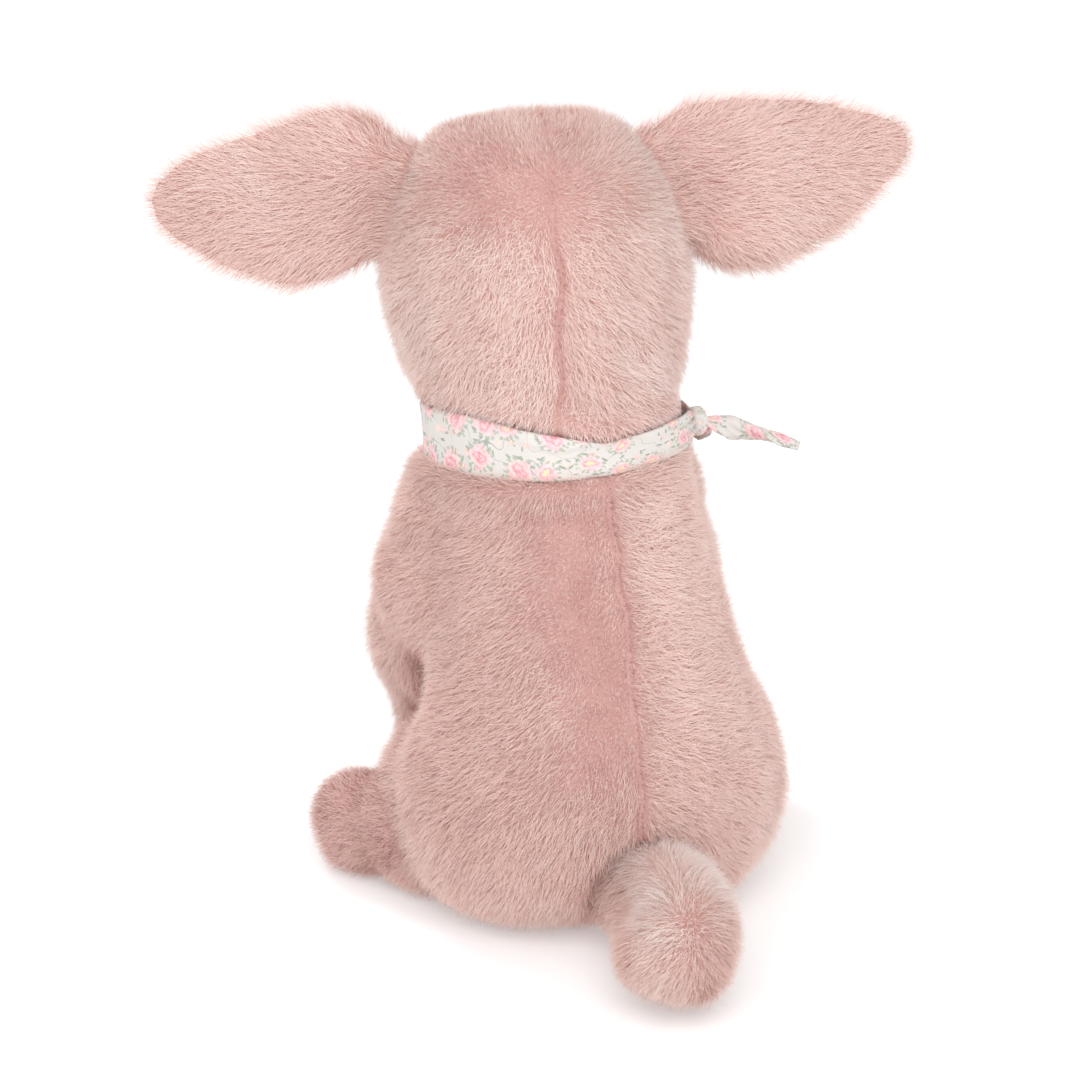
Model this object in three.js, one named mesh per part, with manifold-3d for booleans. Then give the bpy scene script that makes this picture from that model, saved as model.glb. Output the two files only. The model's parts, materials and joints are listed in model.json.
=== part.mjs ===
// A sitting plush pig with a scarf tied round its neck, in millimetres with +Z up.
// The toy faces -Y and its own left side is +X. The origin is the middle of its flat seat, on the floor.
// Each stuffed piece is a sewn fabric cover with filling inside. The pile of the fabric is left out.
import * as THREE from "three";
import { mergeVertices } from "three/addons/utils/BufferGeometryUtils.js";
import Module from "manifold-3d";

const wasm = await Module();
wasm.setup();

// Fits and fabric
const gap = 0.3;
const fabric = 1.5;
const overrun = 6;
const flatDepth = 0.5;

// How finely each kind of shape is faceted
const trunkSides = 16;
const limbSides = 12;
const neckSides = 16;
const knuckleSides = 12;
const capRingCount = 3;
const bodyRingCount = 3;
const earSides = 12;
const smallSides = 10;

// Torso. Its rows give the height, half width, half depth and forward lean of each ring.
const torso = { height: 160, halfWidth: 62, halfDepth: 52.5, lean: 30 };
const torsoShares = [
  [-0.025, 0, 0, 0],
  [-0.015, 0.36, 0.32, 0],
  [0.003, 0.6, 0.55, 0],
  [0.04, 0.82, 0.8, 0.02],
  [0.1, 0.94, 0.94, 0.04],
  [0.19, 1, 1, 0.06],
  [0.28, 1, 1, 0.08],
  [0.37, 0.94, 0.97, 0.12],
  [0.46, 0.84, 0.93, 0.18],
  [0.56, 0.765, 0.89, 0.3],
  [0.67, 0.73, 0.865, 0.5],
  [0.78, 0.705, 0.845, 0.74],
  [0.88, 0.69, 0.815, 0.93],
  [0.95, 0.6, 0.7, 1],
  [0.98, 0.39, 0.44, 1.03],
  [1, 0, 0, 1.03],
];

// Neck ball, between the torso and the head. The head's rim and the torso's rim stand off its middle.
const neck = { radius: 40.5, leanDegrees: 8, openingRadius: 16, torsoRim: 10.5, headRim: 16.5 };
const neckHeightShare = 0.944;

// Head, in its own frame at the middle of the neck ball, with its snout
const head = { height: 99, halfWidth: 47.5, halfDepth: 52, forward: 11, aside: 3 };
const headTurns = { yawDegrees: -14, rollDegrees: 1.5 };
const headShares = [
  [0.06, 0, 0, 0],
  [0.1, 0.5, 0.45, 0],
  [0.18, 0.86, 0.79, 0.1],
  [0.29, 0.95, 0.9, 0.45],
  [0.4, 0.99, 0.97, 0.8],
  [0.5, 1, 1, 1],
  [0.6, 0.995, 0.99, 1],
  [0.71, 0.96, 0.94, 0.9],
  [0.8, 0.89, 0.85, 0.72],
  [0.885, 0.76, 0.71, 0.55],
  [0.955, 0.54, 0.5, 0.4],
  [0.99, 0.27, 0.25, 0.3],
  [1, 0, 0, 0.3],
];
const snout = { rootRadius: 20, tipRadius: 17, length: 30, drop: 4 };
const snoutShares = { height: 0.37, rootDepth: 0.75, flatTip: 0.5 };
const snoutPad = { radius: 14.5, thickness: 2.6 };
const nostril = { halfWidth: 2.1, halfHeight: 3.2, halfDepth: 0.7 };
const nostrilSpacingShare = 0.72;

// Eyes of moulded plastic, each on a shank that a washer locks behind the fabric
const eye = { radius: 4.5, dome: 3.2, shankRadius: 1.5, shankLength: 7, sink: 0.1 };
const eyeShares = { out: 0.42, height: 0.56 };
const washer = { radius: 5.5, thickness: 1.2, sink: 1.3 };

// Ears. Each is a leaf of two fabric layers that flaps about the line where it is sewn to the head.
const ear = { length: 83, halfWidth: 27, halfThickness: 6, knuckleRadius: 6, rootHalfLength: 14.5 };
const earTurns = { slantDegrees: 24, leftLiftDegrees: 6, rightLiftDegrees: 3, sweepDegrees: 4 };
const earRootShares = { out: 0.87, height: 0.75, back: 0.02, aside: 0.7 };
const earWidthShares = [0.46, 0.63, 0.89, 1, 0.95, 0.78, 0.52, 0.25, 0];
const earLengthShares = [0, 0.1, 0.22, 0.38, 0.54, 0.72, 0.87, 0.97, 1];
const earThicknessShares = [0.42, 0.5, 0.82, 1, 0.92, 0.76, 0.55, 0.34, 0];

// Front legs, from a ball at the shoulder down to a paw on the floor
const frontLeg = { ballRadius: 23, rootRadius: 17, upperRadius: 19.5, wristRadius: 14, pawRadius: 16 };
const frontLegReach = { forward: 27, inward: 9, bulge: 5.5 };
const shoulderShares = { height: 0.61, turnDegrees: 31, reach: 1.18 };
const frontLegShares = { upper: 0.28, upperForward: 0.42, wrist: 0.68, wristForward: 0.86 };

// Hind legs, from a ball at the hip to a foot that points outward along the floor
const hindLeg = { ballRadius: 21, footRadius: 15.5, length: 23, outwardDegrees: 40 };
const hipShares = { height: 0.135, turnDegrees: 62, reach: 0.93 };

// Tail, a thick sausage that wags about a ball at its root
const tail = { ballRadius: 17.5, rootRadius: 13, midRadius: 19.5, tipRadius: 18.5, length: 48 };
const tailBendDegrees = 19;
const tailShares = { height: 0.13, turnDegrees: 182, reach: 0.88, mid: 0.55 };

// Pouch of plastic pellets in the seat, which keeps the toy upright
const pouch = { radius: 23, halfHeight: 14, sinkShare: 0.8 };

// Scarf, a folded strip round the neck that is tied at the toy's right
const scarf = { standOff: 0.6, thickness: 1.8, wideHalfHeight: 9, narrowHalfHeight: 5 };
const scarfKnot = { radius: 7, halfHeight: 6, turnDegrees: 163, squash: 0.8 };
const scarfEnd = { length: 29, rootRadius: 2.6, midRadius: 4.8, drop: 8, shortLength: 20 };
const scarfEndShares = { mid: 0.5, midDrop: 0.25, tipRadius: 0.5 };
const scarfEndSpreadDegrees = 45;
const scarfStepCount = 32;

const rad = THREE.MathUtils.degToRad;
const xAxis = new THREE.Vector3(1, 0, 0);
const yAxis = new THREE.Vector3(0, 1, 0);
const zAxis = new THREE.Vector3(0, 0, 1);

const materials = {
  plush: new THREE.MeshStandardMaterial({ color: 0xdfb9b0, roughness: 0.95 }),
  lining: new THREE.MeshStandardMaterial({ color: 0xe6c2ba, roughness: 0.9 }),
  filling: new THREE.MeshStandardMaterial({ color: 0xf3f0e9, roughness: 1 }),
  pellets: new THREE.MeshStandardMaterial({ color: 0xd8d2c4, roughness: 0.9 }),
  pad: new THREE.MeshStandardMaterial({ color: 0xd8a19a, roughness: 0.85 }),
  thread: new THREE.MeshStandardMaterial({ color: 0xa2605c, roughness: 0.8 }),
  eye: new THREE.MeshStandardMaterial({ color: 0x17110f, roughness: 0.12 }),
  washer: new THREE.MeshStandardMaterial({ color: 0xe4e1da, roughness: 0.5 }),
  cotton: new THREE.MeshStandardMaterial({ color: 0xebeeea, roughness: 0.85 }),
};

// A closed solid from a geometry, with its shared vertices merged.
function solid(geometry, matrix = new THREE.Matrix4()) {
  const bare = geometry.clone().applyMatrix4(matrix);
  bare.deleteAttribute("normal");
  bare.deleteAttribute("uv");
  const merged = mergeVertices(bare);
  const mesh = new wasm.Mesh({
    numProp: 3,
    vertProperties: merged.attributes.position.array,
    triVerts: new Uint32Array(merged.index.array),
  });
  return new wasm.Manifold(mesh);
}

function geometryOf(body) {
  const mesh = body.getMesh();
  const geometry = new THREE.BufferGeometry();
  geometry.setAttribute("position", new THREE.BufferAttribute(mesh.vertProperties, 3));
  geometry.setIndex(new THREE.BufferAttribute(mesh.triVerts, 1));
  geometry.computeVertexNormals();
  return geometry;
}

function piece(name, body, material) {
  const mesh = new THREE.Mesh(geometryOf(body), material);
  mesh.name = name;
  return mesh;
}

// A closed skin over rings. Each ring has a centre and two radius vectors, and the first and the last
// ring are points.
function loft(rings, sides) {
  const points = [rings[0].centre];
  for (const { centre, across, up } of rings.slice(1, -1)) {
    for (let k = 0; k < sides; k++) {
      const turn = (2 * Math.PI * k) / sides;
      const point = centre.clone().addScaledVector(across, Math.cos(turn));
      points.push(point.addScaledVector(up, Math.sin(turn)));
    }
  }
  points.push(rings.at(-1).centre);
  const index = [];
  const last = points.length - 1;
  const at = (ring, k) => 1 + ring * sides + (k % sides);
  const lastRing = rings.length - 3;
  for (let k = 0; k < sides; k++) {
    index.push(0, at(0, k + 1), at(0, k));
    index.push(last, at(lastRing, k), at(lastRing, k + 1));
    for (let ring = 0; ring < lastRing; ring++) {
      index.push(at(ring, k), at(ring, k + 1), at(ring + 1, k + 1));
      index.push(at(ring, k), at(ring + 1, k + 1), at(ring + 1, k));
    }
  }
  const geometry = new THREE.BufferGeometry().setFromPoints(points);
  geometry.setIndex(index);
  return solid(geometry);
}

// A trunk of level rings, each given as height, half width, half depth and lean towards -Y.
function trunk(rows, aside, sides, inset) {
  const bottom = rows[0][0];
  const top = rows.at(-1)[0];
  const shrink = (top - bottom - 2 * inset) / (top - bottom);
  const rings = rows.map(([height, halfWidth, halfDepth, lean]) => ({
    centre: new THREE.Vector3(aside, -lean, bottom + inset + (height - bottom) * shrink),
    across: new THREE.Vector3(halfWidth - inset, 0, 0),
    up: new THREE.Vector3(0, halfDepth - inset, 0),
  }));
  return loft(rings, sides);
}

// The row at any height share of a table, taken straight between its neighbours.
function rowAt(shares, height) {
  const next = shares.findIndex((row) => row[0] > height);
  const [low, high] = [shares[next - 1], shares[next]];
  const part = (height - low[0]) / (high[0] - low[0]);
  return low.map((value, column) => value + part * (high[column] - value));
}

// A limb along a curve through points, with a radius at each point. It starts flat, inside the shape
// that it grows from, and ends round.
function limb(points, radii, sides, inset) {
  const curve = new THREE.CatmullRomCurve3(points);
  const spans = radii.length - 1;
  const start = curve.getTangent(0);
  const upright = Math.abs(start.z) > Math.SQRT1_2;
  const side = new THREE.Vector3().crossVectors(upright ? xAxis : zAxis, start);
  const ring = (centre, tangent, radius) => {
    const up = new THREE.Vector3().crossVectors(tangent, side).normalize();
    const across = new THREE.Vector3().crossVectors(up, tangent).normalize();
    return { centre, across: across.multiplyScalar(radius), up: up.multiplyScalar(radius) };
  };
  const tipRadius = radii.at(-1) - inset;
  const tangent = curve.getTangent(1);
  const cap = Array.from({ length: capRingCount }, (_, k) => {
    const turn = (Math.PI / 2) * ((k + 1) / capRingCount);
    const centre = curve.getPoint(1).addScaledVector(tangent, tipRadius * Math.sin(turn));
    return ring(centre, tangent, tipRadius * Math.cos(turn));
  });
  const middle = Array.from({ length: bodyRingCount + 1 }, (_, k) => {
    const along = k / bodyRingCount;
    const span = Math.min(Math.floor(along * spans), spans - 1);
    const radius = THREE.MathUtils.lerp(radii[span], radii[span + 1], along * spans - span) - inset;
    return ring(curve.getPoint(along), curve.getTangent(along), radius);
  });
  return loft([ring(curve.getPoint(0), start, 0), ...middle, ...cap], sides);
}

function ball(centre, radius, sides) {
  const place = new THREE.Matrix4().setPosition(centre);
  return solid(new THREE.SphereGeometry(radius, sides, sides / 2), place);
}

// A faceted seat round a ball stands clear of the ball however the ball is turned.
function seat(centre, radius, sides) {
  return levelSeat(centre, (radius + gap) / Math.cos(Math.PI / sides) - gap, sides);
}

// A closer seat, for a ball that only turns about Z.
function levelSeat(centre, radius, sides) {
  return ball(centre, (radius + gap) / Math.cos(Math.PI / sides), sides);
}

// A rod along the given direction, from a start point.
function rod(start, direction, radius, length, sides) {
  const geometry = new THREE.CylinderGeometry(radius, radius, length, sides);
  const turn = new THREE.Quaternion().setFromUnitVectors(yAxis, direction);
  const middle = start.clone().addScaledVector(direction, length / 2);
  return solid(geometry, new THREE.Matrix4().compose(middle, turn, new THREE.Vector3(1, 1, 1)));
}

// Everything on the far side of a plane through a point, out to a reach, for cutting flat.
function beyond(point, direction, reach) {
  const geometry = new THREE.BoxGeometry(2 * reach, 2 * reach, 2 * reach);
  const turn = new THREE.Quaternion().setFromUnitVectors(zAxis, direction);
  const middle = point.clone().addScaledVector(direction, reach);
  return solid(geometry, new THREE.Matrix4().compose(middle, turn, new THREE.Vector3(1, 1, 1)));
}

const down = zAxis.clone().negate();
const wholeReach = torso.height + head.height;

function aboveFloor(body, inset) {
  return body.subtract(beyond(new THREE.Vector3(0, 0, inset), down, wholeReach));
}

// A sewn cover: the form less its own inside and less the openings where it is sewn on or filled.
function cover(form, ...cuts) {
  return cuts.reduce((body, cut) => body.subtract(cut), form(0).subtract(form(fabric)));
}

function filling(form, ...cuts) {
  return cuts.reduce((body, cut) => body.subtract(cut), form(fabric + gap));
}

// A place on the torso: a height share, a turn from straight ahead and a reach out to its side.
function onTorso(side, { height, turnDegrees, reach }) {
  const [, width, depth, lean] = rowAt(torsoShares, height);
  return new THREE.Vector3(
    side * reach * width * torso.halfWidth * Math.sin(rad(turnDegrees)),
    -lean * torso.lean - reach * depth * torso.halfDepth * Math.cos(rad(turnDegrees)),
    height * torso.height,
  );
}

const torsoRows = torsoShares.map(([height, width, depth, lean]) => [
  height * torso.height,
  width * torso.halfWidth,
  depth * torso.halfDepth,
  lean * torso.lean,
]);
const headRows = headShares.map(([height, width, depth, forward]) => [
  height * head.height,
  width * head.halfWidth,
  depth * head.halfDepth,
  forward * head.forward,
]);
const neckMiddle = onTorso(1, { height: neckHeightShare, turnDegrees: 0, reach: 0 });
const neckAxis = zAxis.clone().applyAxisAngle(xAxis, rad(neck.leanDegrees));
const origin = new THREE.Vector3();

const shoulder = (side) => onTorso(side, shoulderShares);
const hip = (side) => onTorso(side, hipShares);
const tailRoot = onTorso(1, tailShares);

function frontLegForm(side) {
  const top = shoulder(side);
  const paw = new THREE.Vector3(
    top.x - side * frontLegReach.inward,
    top.y - frontLegReach.forward,
    frontLeg.pawRadius - flatDepth,
  );
  const upper = top.clone().lerp(paw, frontLegShares.upper);
  upper.x += side * frontLegReach.bulge;
  upper.y = THREE.MathUtils.lerp(top.y, paw.y, frontLegShares.upperForward);
  const wrist = top.clone().lerp(paw, frontLegShares.wrist);
  wrist.y = THREE.MathUtils.lerp(top.y, paw.y, frontLegShares.wristForward);
  const radii = [frontLeg.rootRadius, frontLeg.upperRadius, frontLeg.wristRadius, frontLeg.pawRadius];
  return (inset) => {
    const shoulderBall = ball(top, frontLeg.ballRadius - inset, knuckleSides);
    return aboveFloor(shoulderBall.add(limb([top, upper, wrist, paw], radii, limbSides, inset)), inset);
  };
}

function hindLegForm(side) {
  const root = hip(side);
  const foot = new THREE.Vector3(
    root.x + side * hindLeg.length * Math.sin(rad(hindLeg.outwardDegrees)),
    root.y - hindLeg.length * Math.cos(rad(hindLeg.outwardDegrees)),
    hindLeg.footRadius - flatDepth,
  );
  const radii = [hindLeg.footRadius, hindLeg.footRadius];
  return (inset) => {
    const hipBall = ball(root, hindLeg.ballRadius - inset, knuckleSides);
    return aboveFloor(hipBall.add(limb([root, foot], radii, limbSides, inset)), inset);
  };
}

function tailForm(inset) {
  const mid = tailRoot.clone().addScaledVector(yAxis, tailShares.mid * tail.length);
  const bent = yAxis.clone().applyAxisAngle(zAxis, -rad(tailBendDegrees));
  const tip = mid.clone().addScaledVector(bent, (1 - tailShares.mid) * tail.length);
  const points = [tailRoot, mid, tip];
  const rootBall = ball(tailRoot, tail.ballRadius - inset, knuckleSides);
  return rootBall.add(limb(points, [tail.rootRadius, tail.midRadius, tail.tipRadius], limbSides, inset));
}

function makeTorso() {
  const form = (inset) => aboveFloor(trunk(torsoRows, 0, trunkSides, inset), inset);
  const rim = neckMiddle.clone().addScaledVector(neckAxis, -neck.torsoRim);
  const cuts = [beyond(rim, neckAxis, wholeReach), seat(neckMiddle, neck.radius, neckSides)];
  for (const side of [1, -1]) {
    cuts.push(seat(shoulder(side), frontLeg.ballRadius, knuckleSides));
    cuts.push(levelSeat(hip(side), hindLeg.ballRadius, knuckleSides));
  }
  cuts.push(levelSeat(tailRoot, tail.ballRadius, knuckleSides));
  const pouchBody = (grow) => {
    const sized = ball(origin, 1, knuckleSides).scale([
      pouch.radius + grow,
      pouch.radius + grow,
      pouch.halfHeight + grow,
    ]);
    const floor = fabric + gap;
    return aboveFloor(sized.translate([0, 0, floor + pouch.sinkShare * pouch.halfHeight]), floor - grow);
  };
  return [
    piece("body_cover", cover(form, ...cuts), materials.plush),
    piece("body_stuffing", filling(form, ...cuts, pouchBody(gap)), materials.filling),
    piece("seat_bean_pouch", pouchBody(0), materials.pellets),
  ];
}

function makeNeck() {
  const form = (inset) => ball(origin, neck.radius - inset, neckSides);
  const opening = rod(origin, zAxis, neck.openingRadius, neck.radius + overrun, limbSides);
  return [
    piece("neck_cover", cover(form, opening), materials.plush),
    piece("neck_stuffing", filling(form), materials.filling),
  ];
}

// The head's front surface at a share of its half width and of its height, with the way out of it.
function onFace(out, height) {
  const [, width, depth, forward] = rowAt(headShares, height);
  const halfWidth = width * head.halfWidth;
  const halfDepth = depth * head.halfDepth;
  const x = out * head.halfWidth;
  const y = halfDepth * Math.sqrt(1 - (x / halfWidth) ** 2);
  const outward = new THREE.Vector3(x / halfWidth ** 2, -y / halfDepth ** 2, 0).normalize();
  const point = new THREE.Vector3(head.aside + x, -forward * head.forward - y, height * head.height);
  return { point, outward };
}

function snoutForm(inset) {
  const depth = snoutShares.rootDepth * head.halfDepth;
  const root = new THREE.Vector3(head.aside, -depth, snoutShares.height * head.height);
  const tip = root.clone().add(new THREE.Vector3(0, -snout.length, -snout.drop));
  const forward = tip.clone().sub(root).normalize();
  const far = tip.clone().addScaledVector(forward, snoutShares.flatTip * snout.tipRadius - inset);
  const whole = limb([root, tip], [snout.rootRadius, snout.tipRadius], limbSides, inset);
  return { body: whole.subtract(beyond(far, forward, head.height)), far, forward };
}

// An eye and its washer, turned about an axis along Y. The dome faces +Y.
function eyePoints() {
  const dome = Array.from({ length: capRingCount + 1 }, (_, k) => {
    const turn = (Math.PI / 2) * (k / capRingCount);
    return new THREE.Vector2(eye.radius * Math.cos(turn), eye.dome * Math.sin(turn));
  });
  dome[capRingCount].x = 0;
  return [
    new THREE.Vector2(0, -eye.shankLength),
    new THREE.Vector2(eye.shankRadius, -eye.shankLength),
    new THREE.Vector2(eye.shankRadius, 0),
    ...dome,
  ];
}

function washerPoints() {
  const bore = eye.shankRadius + gap;
  return [
    new THREE.Vector2(bore, 0),
    new THREE.Vector2(washer.radius, 0),
    new THREE.Vector2(washer.radius, washer.thickness),
    new THREE.Vector2(bore, washer.thickness),
    new THREE.Vector2(bore, 0),
  ];
}

function makeHead(toNeck) {
  const form = (inset) => trunk(headRows, head.aside, trunkSides, inset).add(snoutForm(inset).body);
  const rimPoint = new THREE.Vector3(0, 0, neck.headRim).applyMatrix4(toNeck);
  const rimDown = down.clone().transformDirection(toNeck);
  const shared = [seat(origin, neck.radius, neckSides), beyond(rimPoint, rimDown, wholeReach)];
  for (const side of [1, -1]) {
    const axis = earAxis(side);
    const root = earRoot(side).addScaledVector(axis, -ear.rootHalfLength - gap);
    const radius = (ear.knuckleRadius + gap) / Math.cos(Math.PI / earSides);
    shared.push(rod(root, axis, radius, 2 * (ear.rootHalfLength + gap), earSides));
  }
  const sockets = [];
  const pockets = [];
  const pieces = [];
  for (const side of [1, -1]) {
    const { point, outward } = onFace(side * eyeShares.out, eyeShares.height);
    const inward = outward.clone().negate();
    const back = point.clone().addScaledVector(inward, eye.sink);
    const hole = rod(back, inward, eye.shankRadius + gap, eye.shankLength + gap, smallSides);
    const seatStart = back.clone().addScaledVector(inward, gap);
    sockets.push(hole, rod(seatStart, outward, eye.radius + gap, overrun, smallSides));
    const washerDepth = fabric + washer.sink + washer.thickness;
    const pocket = rod(back, inward, washer.radius + gap, washerDepth + gap, smallSides);
    pockets.push(hole, pocket);
    const turn = new THREE.Quaternion().setFromUnitVectors(yAxis, outward);
    const label = side > 0 ? "left" : "right";
    const eyeBody = solid(new THREE.LatheGeometry(eyePoints(), smallSides));
    const washerBody = solid(new THREE.LatheGeometry(washerPoints(), smallSides));
    const eyeMesh = piece("eye_" + label, eyeBody, materials.eye);
    const washerMesh = piece("eye_washer_" + label, washerBody, materials.washer);
    eyeMesh.position.copy(back);
    washerMesh.position.copy(back).addScaledVector(inward, washerDepth);
    for (const mesh of [eyeMesh, washerMesh]) {
      mesh.quaternion.copy(turn);
      pieces.push(mesh);
    }
  }
  pieces.push(piece("head_cover", cover(form, ...shared, ...sockets), materials.plush));
  pieces.push(piece("head_stuffing", filling(form, ...shared, ...pockets), materials.filling));
  return [...pieces, ...makeSnoutPad()];
}

// The snout's sewn pad with two embroidered nostrils
function makeSnoutPad() {
  const { far, forward } = snoutForm(0);
  const padPoints = [
    new THREE.Vector2(0, 0),
    new THREE.Vector2(snoutPad.radius - snoutPad.thickness / 2, 0),
    new THREE.Vector2(snoutPad.radius, snoutPad.thickness / 2),
    new THREE.Vector2(snoutPad.radius - snoutPad.thickness / 2, snoutPad.thickness),
    new THREE.Vector2(0, snoutPad.thickness),
  ];
  const pad = piece("snout_pad", solid(new THREE.LatheGeometry(padPoints, trunkSides)), materials.pad);
  pad.position.copy(far).addScaledVector(forward, gap);
  pad.quaternion.setFromUnitVectors(yAxis, forward);
  const face = far.clone().addScaledVector(forward, snoutPad.thickness + 2 * gap + nostril.halfDepth);
  const nostrils = [1, -1].map((side) => {
    const size = [nostril.halfWidth, nostril.halfDepth, nostril.halfHeight];
    const oval = ball(origin, 1, smallSides).scale(size);
    const mesh = piece("nostril_" + (side > 0 ? "left" : "right"), oval, materials.thread);
    mesh.position.copy(face);
    mesh.position.x += (side * nostrilSpacingShare * snoutPad.radius) / 2;
    mesh.quaternion.setFromUnitVectors(yAxis.clone().negate(), forward);
    return mesh;
  });
  return [pad, ...nostrils];
}

// The ear's root line on the head: its middle and its direction, both in the head's frame
function earRoot(side) {
  return new THREE.Vector3(
    side * earRootShares.out * head.halfWidth + earRootShares.aside * head.aside,
    -earRootShares.back * head.halfDepth - head.forward,
    earRootShares.height * head.height,
  );
}

function earAxis(side) {
  return zAxis.clone().applyAxisAngle(yAxis, -side * rad(earTurns.slantDegrees));
}

// One ear in a frame at its root line, where Z runs along that line and Y points back.
function makeEar(side, liftDegrees) {
  const tiltDegrees = earTurns.slantDegrees - liftDegrees;
  const along = new THREE.Vector3(side * Math.cos(rad(tiltDegrees)), 0, -Math.sin(rad(tiltDegrees)));
  const across = new THREE.Vector3(side * Math.sin(rad(tiltDegrees)), 0, Math.cos(rad(tiltDegrees)));
  const rings = earLengthShares.map((share, k) => {
    const width = zAxis.clone().lerp(across, Math.min(2 * share, 1)).normalize();
    return {
      centre: along.clone().multiplyScalar(share * ear.length),
      across: new THREE.Vector3(0, side * earThicknessShares[k] * ear.halfThickness, 0),
      up: width.multiplyScalar(earWidthShares[k] * ear.halfWidth),
    };
  });
  const inside = { ...rings[0], centre: along.clone().multiplyScalar(-ear.knuckleRadius / 2) };
  const leaf = loft([inside, inside, ...rings], earSides);
  const rootStart = zAxis.clone().multiplyScalar(-ear.rootHalfLength);
  const knuckle = rod(rootStart, zAxis, ear.knuckleRadius, 2 * ear.rootHalfLength, earSides);
  const whole = leaf.add(knuckle);
  const backward = new THREE.Vector3(0, gap / 2, 0);
  const label = side > 0 ? "left" : "right";
  const lining = whole.subtract(beyond(backward.clone().negate(), yAxis, wholeReach));
  const back = whole.subtract(beyond(backward, yAxis.clone().negate(), wholeReach));
  const group = new THREE.Group();
  group.name = "ear_" + label;
  group.position.copy(earRoot(side));
  group.quaternion.setFromUnitVectors(zAxis, earAxis(side));
  group.rotateZ(-side * rad(earTurns.sweepDegrees));
  group.add(piece("ear_" + label + "_back", back, materials.plush));
  group.add(piece("ear_" + label + "_lining", lining, materials.lining));
  return group;
}

// A limb's cover and stuffing in a frame at its root ball. The cover is open where it faces the torso.
function makeLimb(name, form, root, ballRadius) {
  const inward = new THREE.Vector3(-root.x, -root.y, 0).normalize();
  const opening = rod(root, inward, ballRadius / 2, ballRadius + overrun, limbSides);
  const toRoot = root.clone().negate().toArray();
  const group = new THREE.Group();
  group.name = name;
  group.position.copy(root);
  group.add(piece(name + "_cover", cover(form, opening).translate(toRoot), materials.plush));
  group.add(piece(name + "_stuffing", filling(form).translate(toRoot), materials.filling));
  return group;
}

// The scarf in the neck's frame: a band of changing height, a knot and two twisted ends
function makeScarf() {
  const inner = neck.radius + scarf.standOff;
  const outer = inner + scarf.thickness;
  const knotTurn = rad(scarfKnot.turnDegrees);
  const points = [];
  for (let k = 0; k < scarfStepCount; k++) {
    const turn = (2 * Math.PI * k) / scarfStepCount;
    const widen = (1 - Math.cos(turn - knotTurn)) / 2;
    const half = THREE.MathUtils.lerp(scarf.narrowHalfHeight, scarf.wideHalfHeight, widen);
    const inRadius = inner / Math.cos(Math.PI / scarfStepCount);
    const outRadius = outer / Math.cos(Math.PI / scarfStepCount);
    const section = [
      [inRadius, -half],
      [outRadius, -half],
      [outRadius, half],
      [inRadius, half],
    ];
    for (const [radius, height] of section) {
      points.push(new THREE.Vector3(radius * Math.cos(turn), radius * Math.sin(turn), height));
    }
  }
  const index = [];
  const cornerCount = 4;
  const at = (step, corner) => (step % scarfStepCount) * cornerCount + (corner % cornerCount);
  for (let k = 0; k < scarfStepCount; k++) {
    for (let c = 0; c < cornerCount; c++) {
      index.push(at(k, c), at(k + 1, c), at(k + 1, c + 1));
      index.push(at(k, c), at(k + 1, c + 1), at(k, c + 1));
    }
  }
  const ring = new THREE.BufferGeometry().setFromPoints(points);
  ring.setIndex(index);
  const out = new THREE.Vector3(Math.cos(knotTurn), Math.sin(knotTurn), 0);
  const knotReach = outer + scarfKnot.squash * scarfKnot.radius - scarf.thickness;
  const knotMiddle = out.clone().multiplyScalar(knotReach);
  const knot = ball(origin, 1, smallSides).scale([
    scarfKnot.squash * scarfKnot.radius,
    scarfKnot.radius,
    scarfKnot.halfHeight,
  ]);
  const turned = knot.rotate([0, 0, scarfKnot.turnDegrees]).translate(knotMiddle.toArray());
  const strand = (way, length) => {
    const mid = knotMiddle.clone().addScaledVector(way, scarfEndShares.mid * length);
    const tip = knotMiddle.clone().addScaledVector(way, length);
    mid.z -= scarfEndShares.midDrop * scarfEnd.drop;
    tip.z -= scarfEnd.drop;
    const tipRadius = scarfEndShares.tipRadius * scarfEnd.rootRadius;
    const radii = [scarfEnd.rootRadius, scarfEnd.midRadius, tipRadius];
    return limb([knotMiddle, mid, tip], radii, smallSides, 0);
  };
  const forward = out.clone().applyAxisAngle(zAxis, rad(scarfEndSpreadDegrees));
  const ends = strand(out, scarfEnd.length).add(strand(forward, scarfEnd.shortLength));
  const whole = solid(ring).add(turned).add(ends);
  return piece("neck_scarf", whole, materials.cotton);
}

const pig = new THREE.Group();
pig.name = "plush_pig";
pig.add(...makeTorso());
for (const side of [1, -1]) {
  const label = side > 0 ? "left" : "right";
  pig.add(makeLimb("front_leg_" + label, frontLegForm(side), shoulder(side), frontLeg.ballRadius));
  pig.add(makeLimb("hind_leg_" + label, hindLegForm(side), hip(side), hindLeg.ballRadius));
}
pig.add(makeLimb("tail", tailForm, tailRoot, tail.ballRadius));

const neckGroup = new THREE.Group();
neckGroup.name = "neck";
neckGroup.position.copy(neckMiddle);
neckGroup.rotation.x = rad(neck.leanDegrees);
neckGroup.add(...makeNeck(), makeScarf());

const headGroup = new THREE.Group();
headGroup.name = "head";
headGroup.rotation.set(0, rad(headTurns.rollDegrees), rad(headTurns.yawDegrees), "ZYX");
headGroup.updateMatrix();
const toNeck = headGroup.matrix.clone().invert();
headGroup.add(...makeHead(toNeck));
headGroup.add(makeEar(1, earTurns.leftLiftDegrees), makeEar(-1, earTurns.rightLiftDegrees));
neckGroup.add(headGroup);
pig.add(neckGroup);

export default pig;
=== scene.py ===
import json
import math

import bmesh
import bpy
import numpy as np
from mathutils import Matrix, Vector
from mathutils.bvhtree import BVHTree


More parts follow.
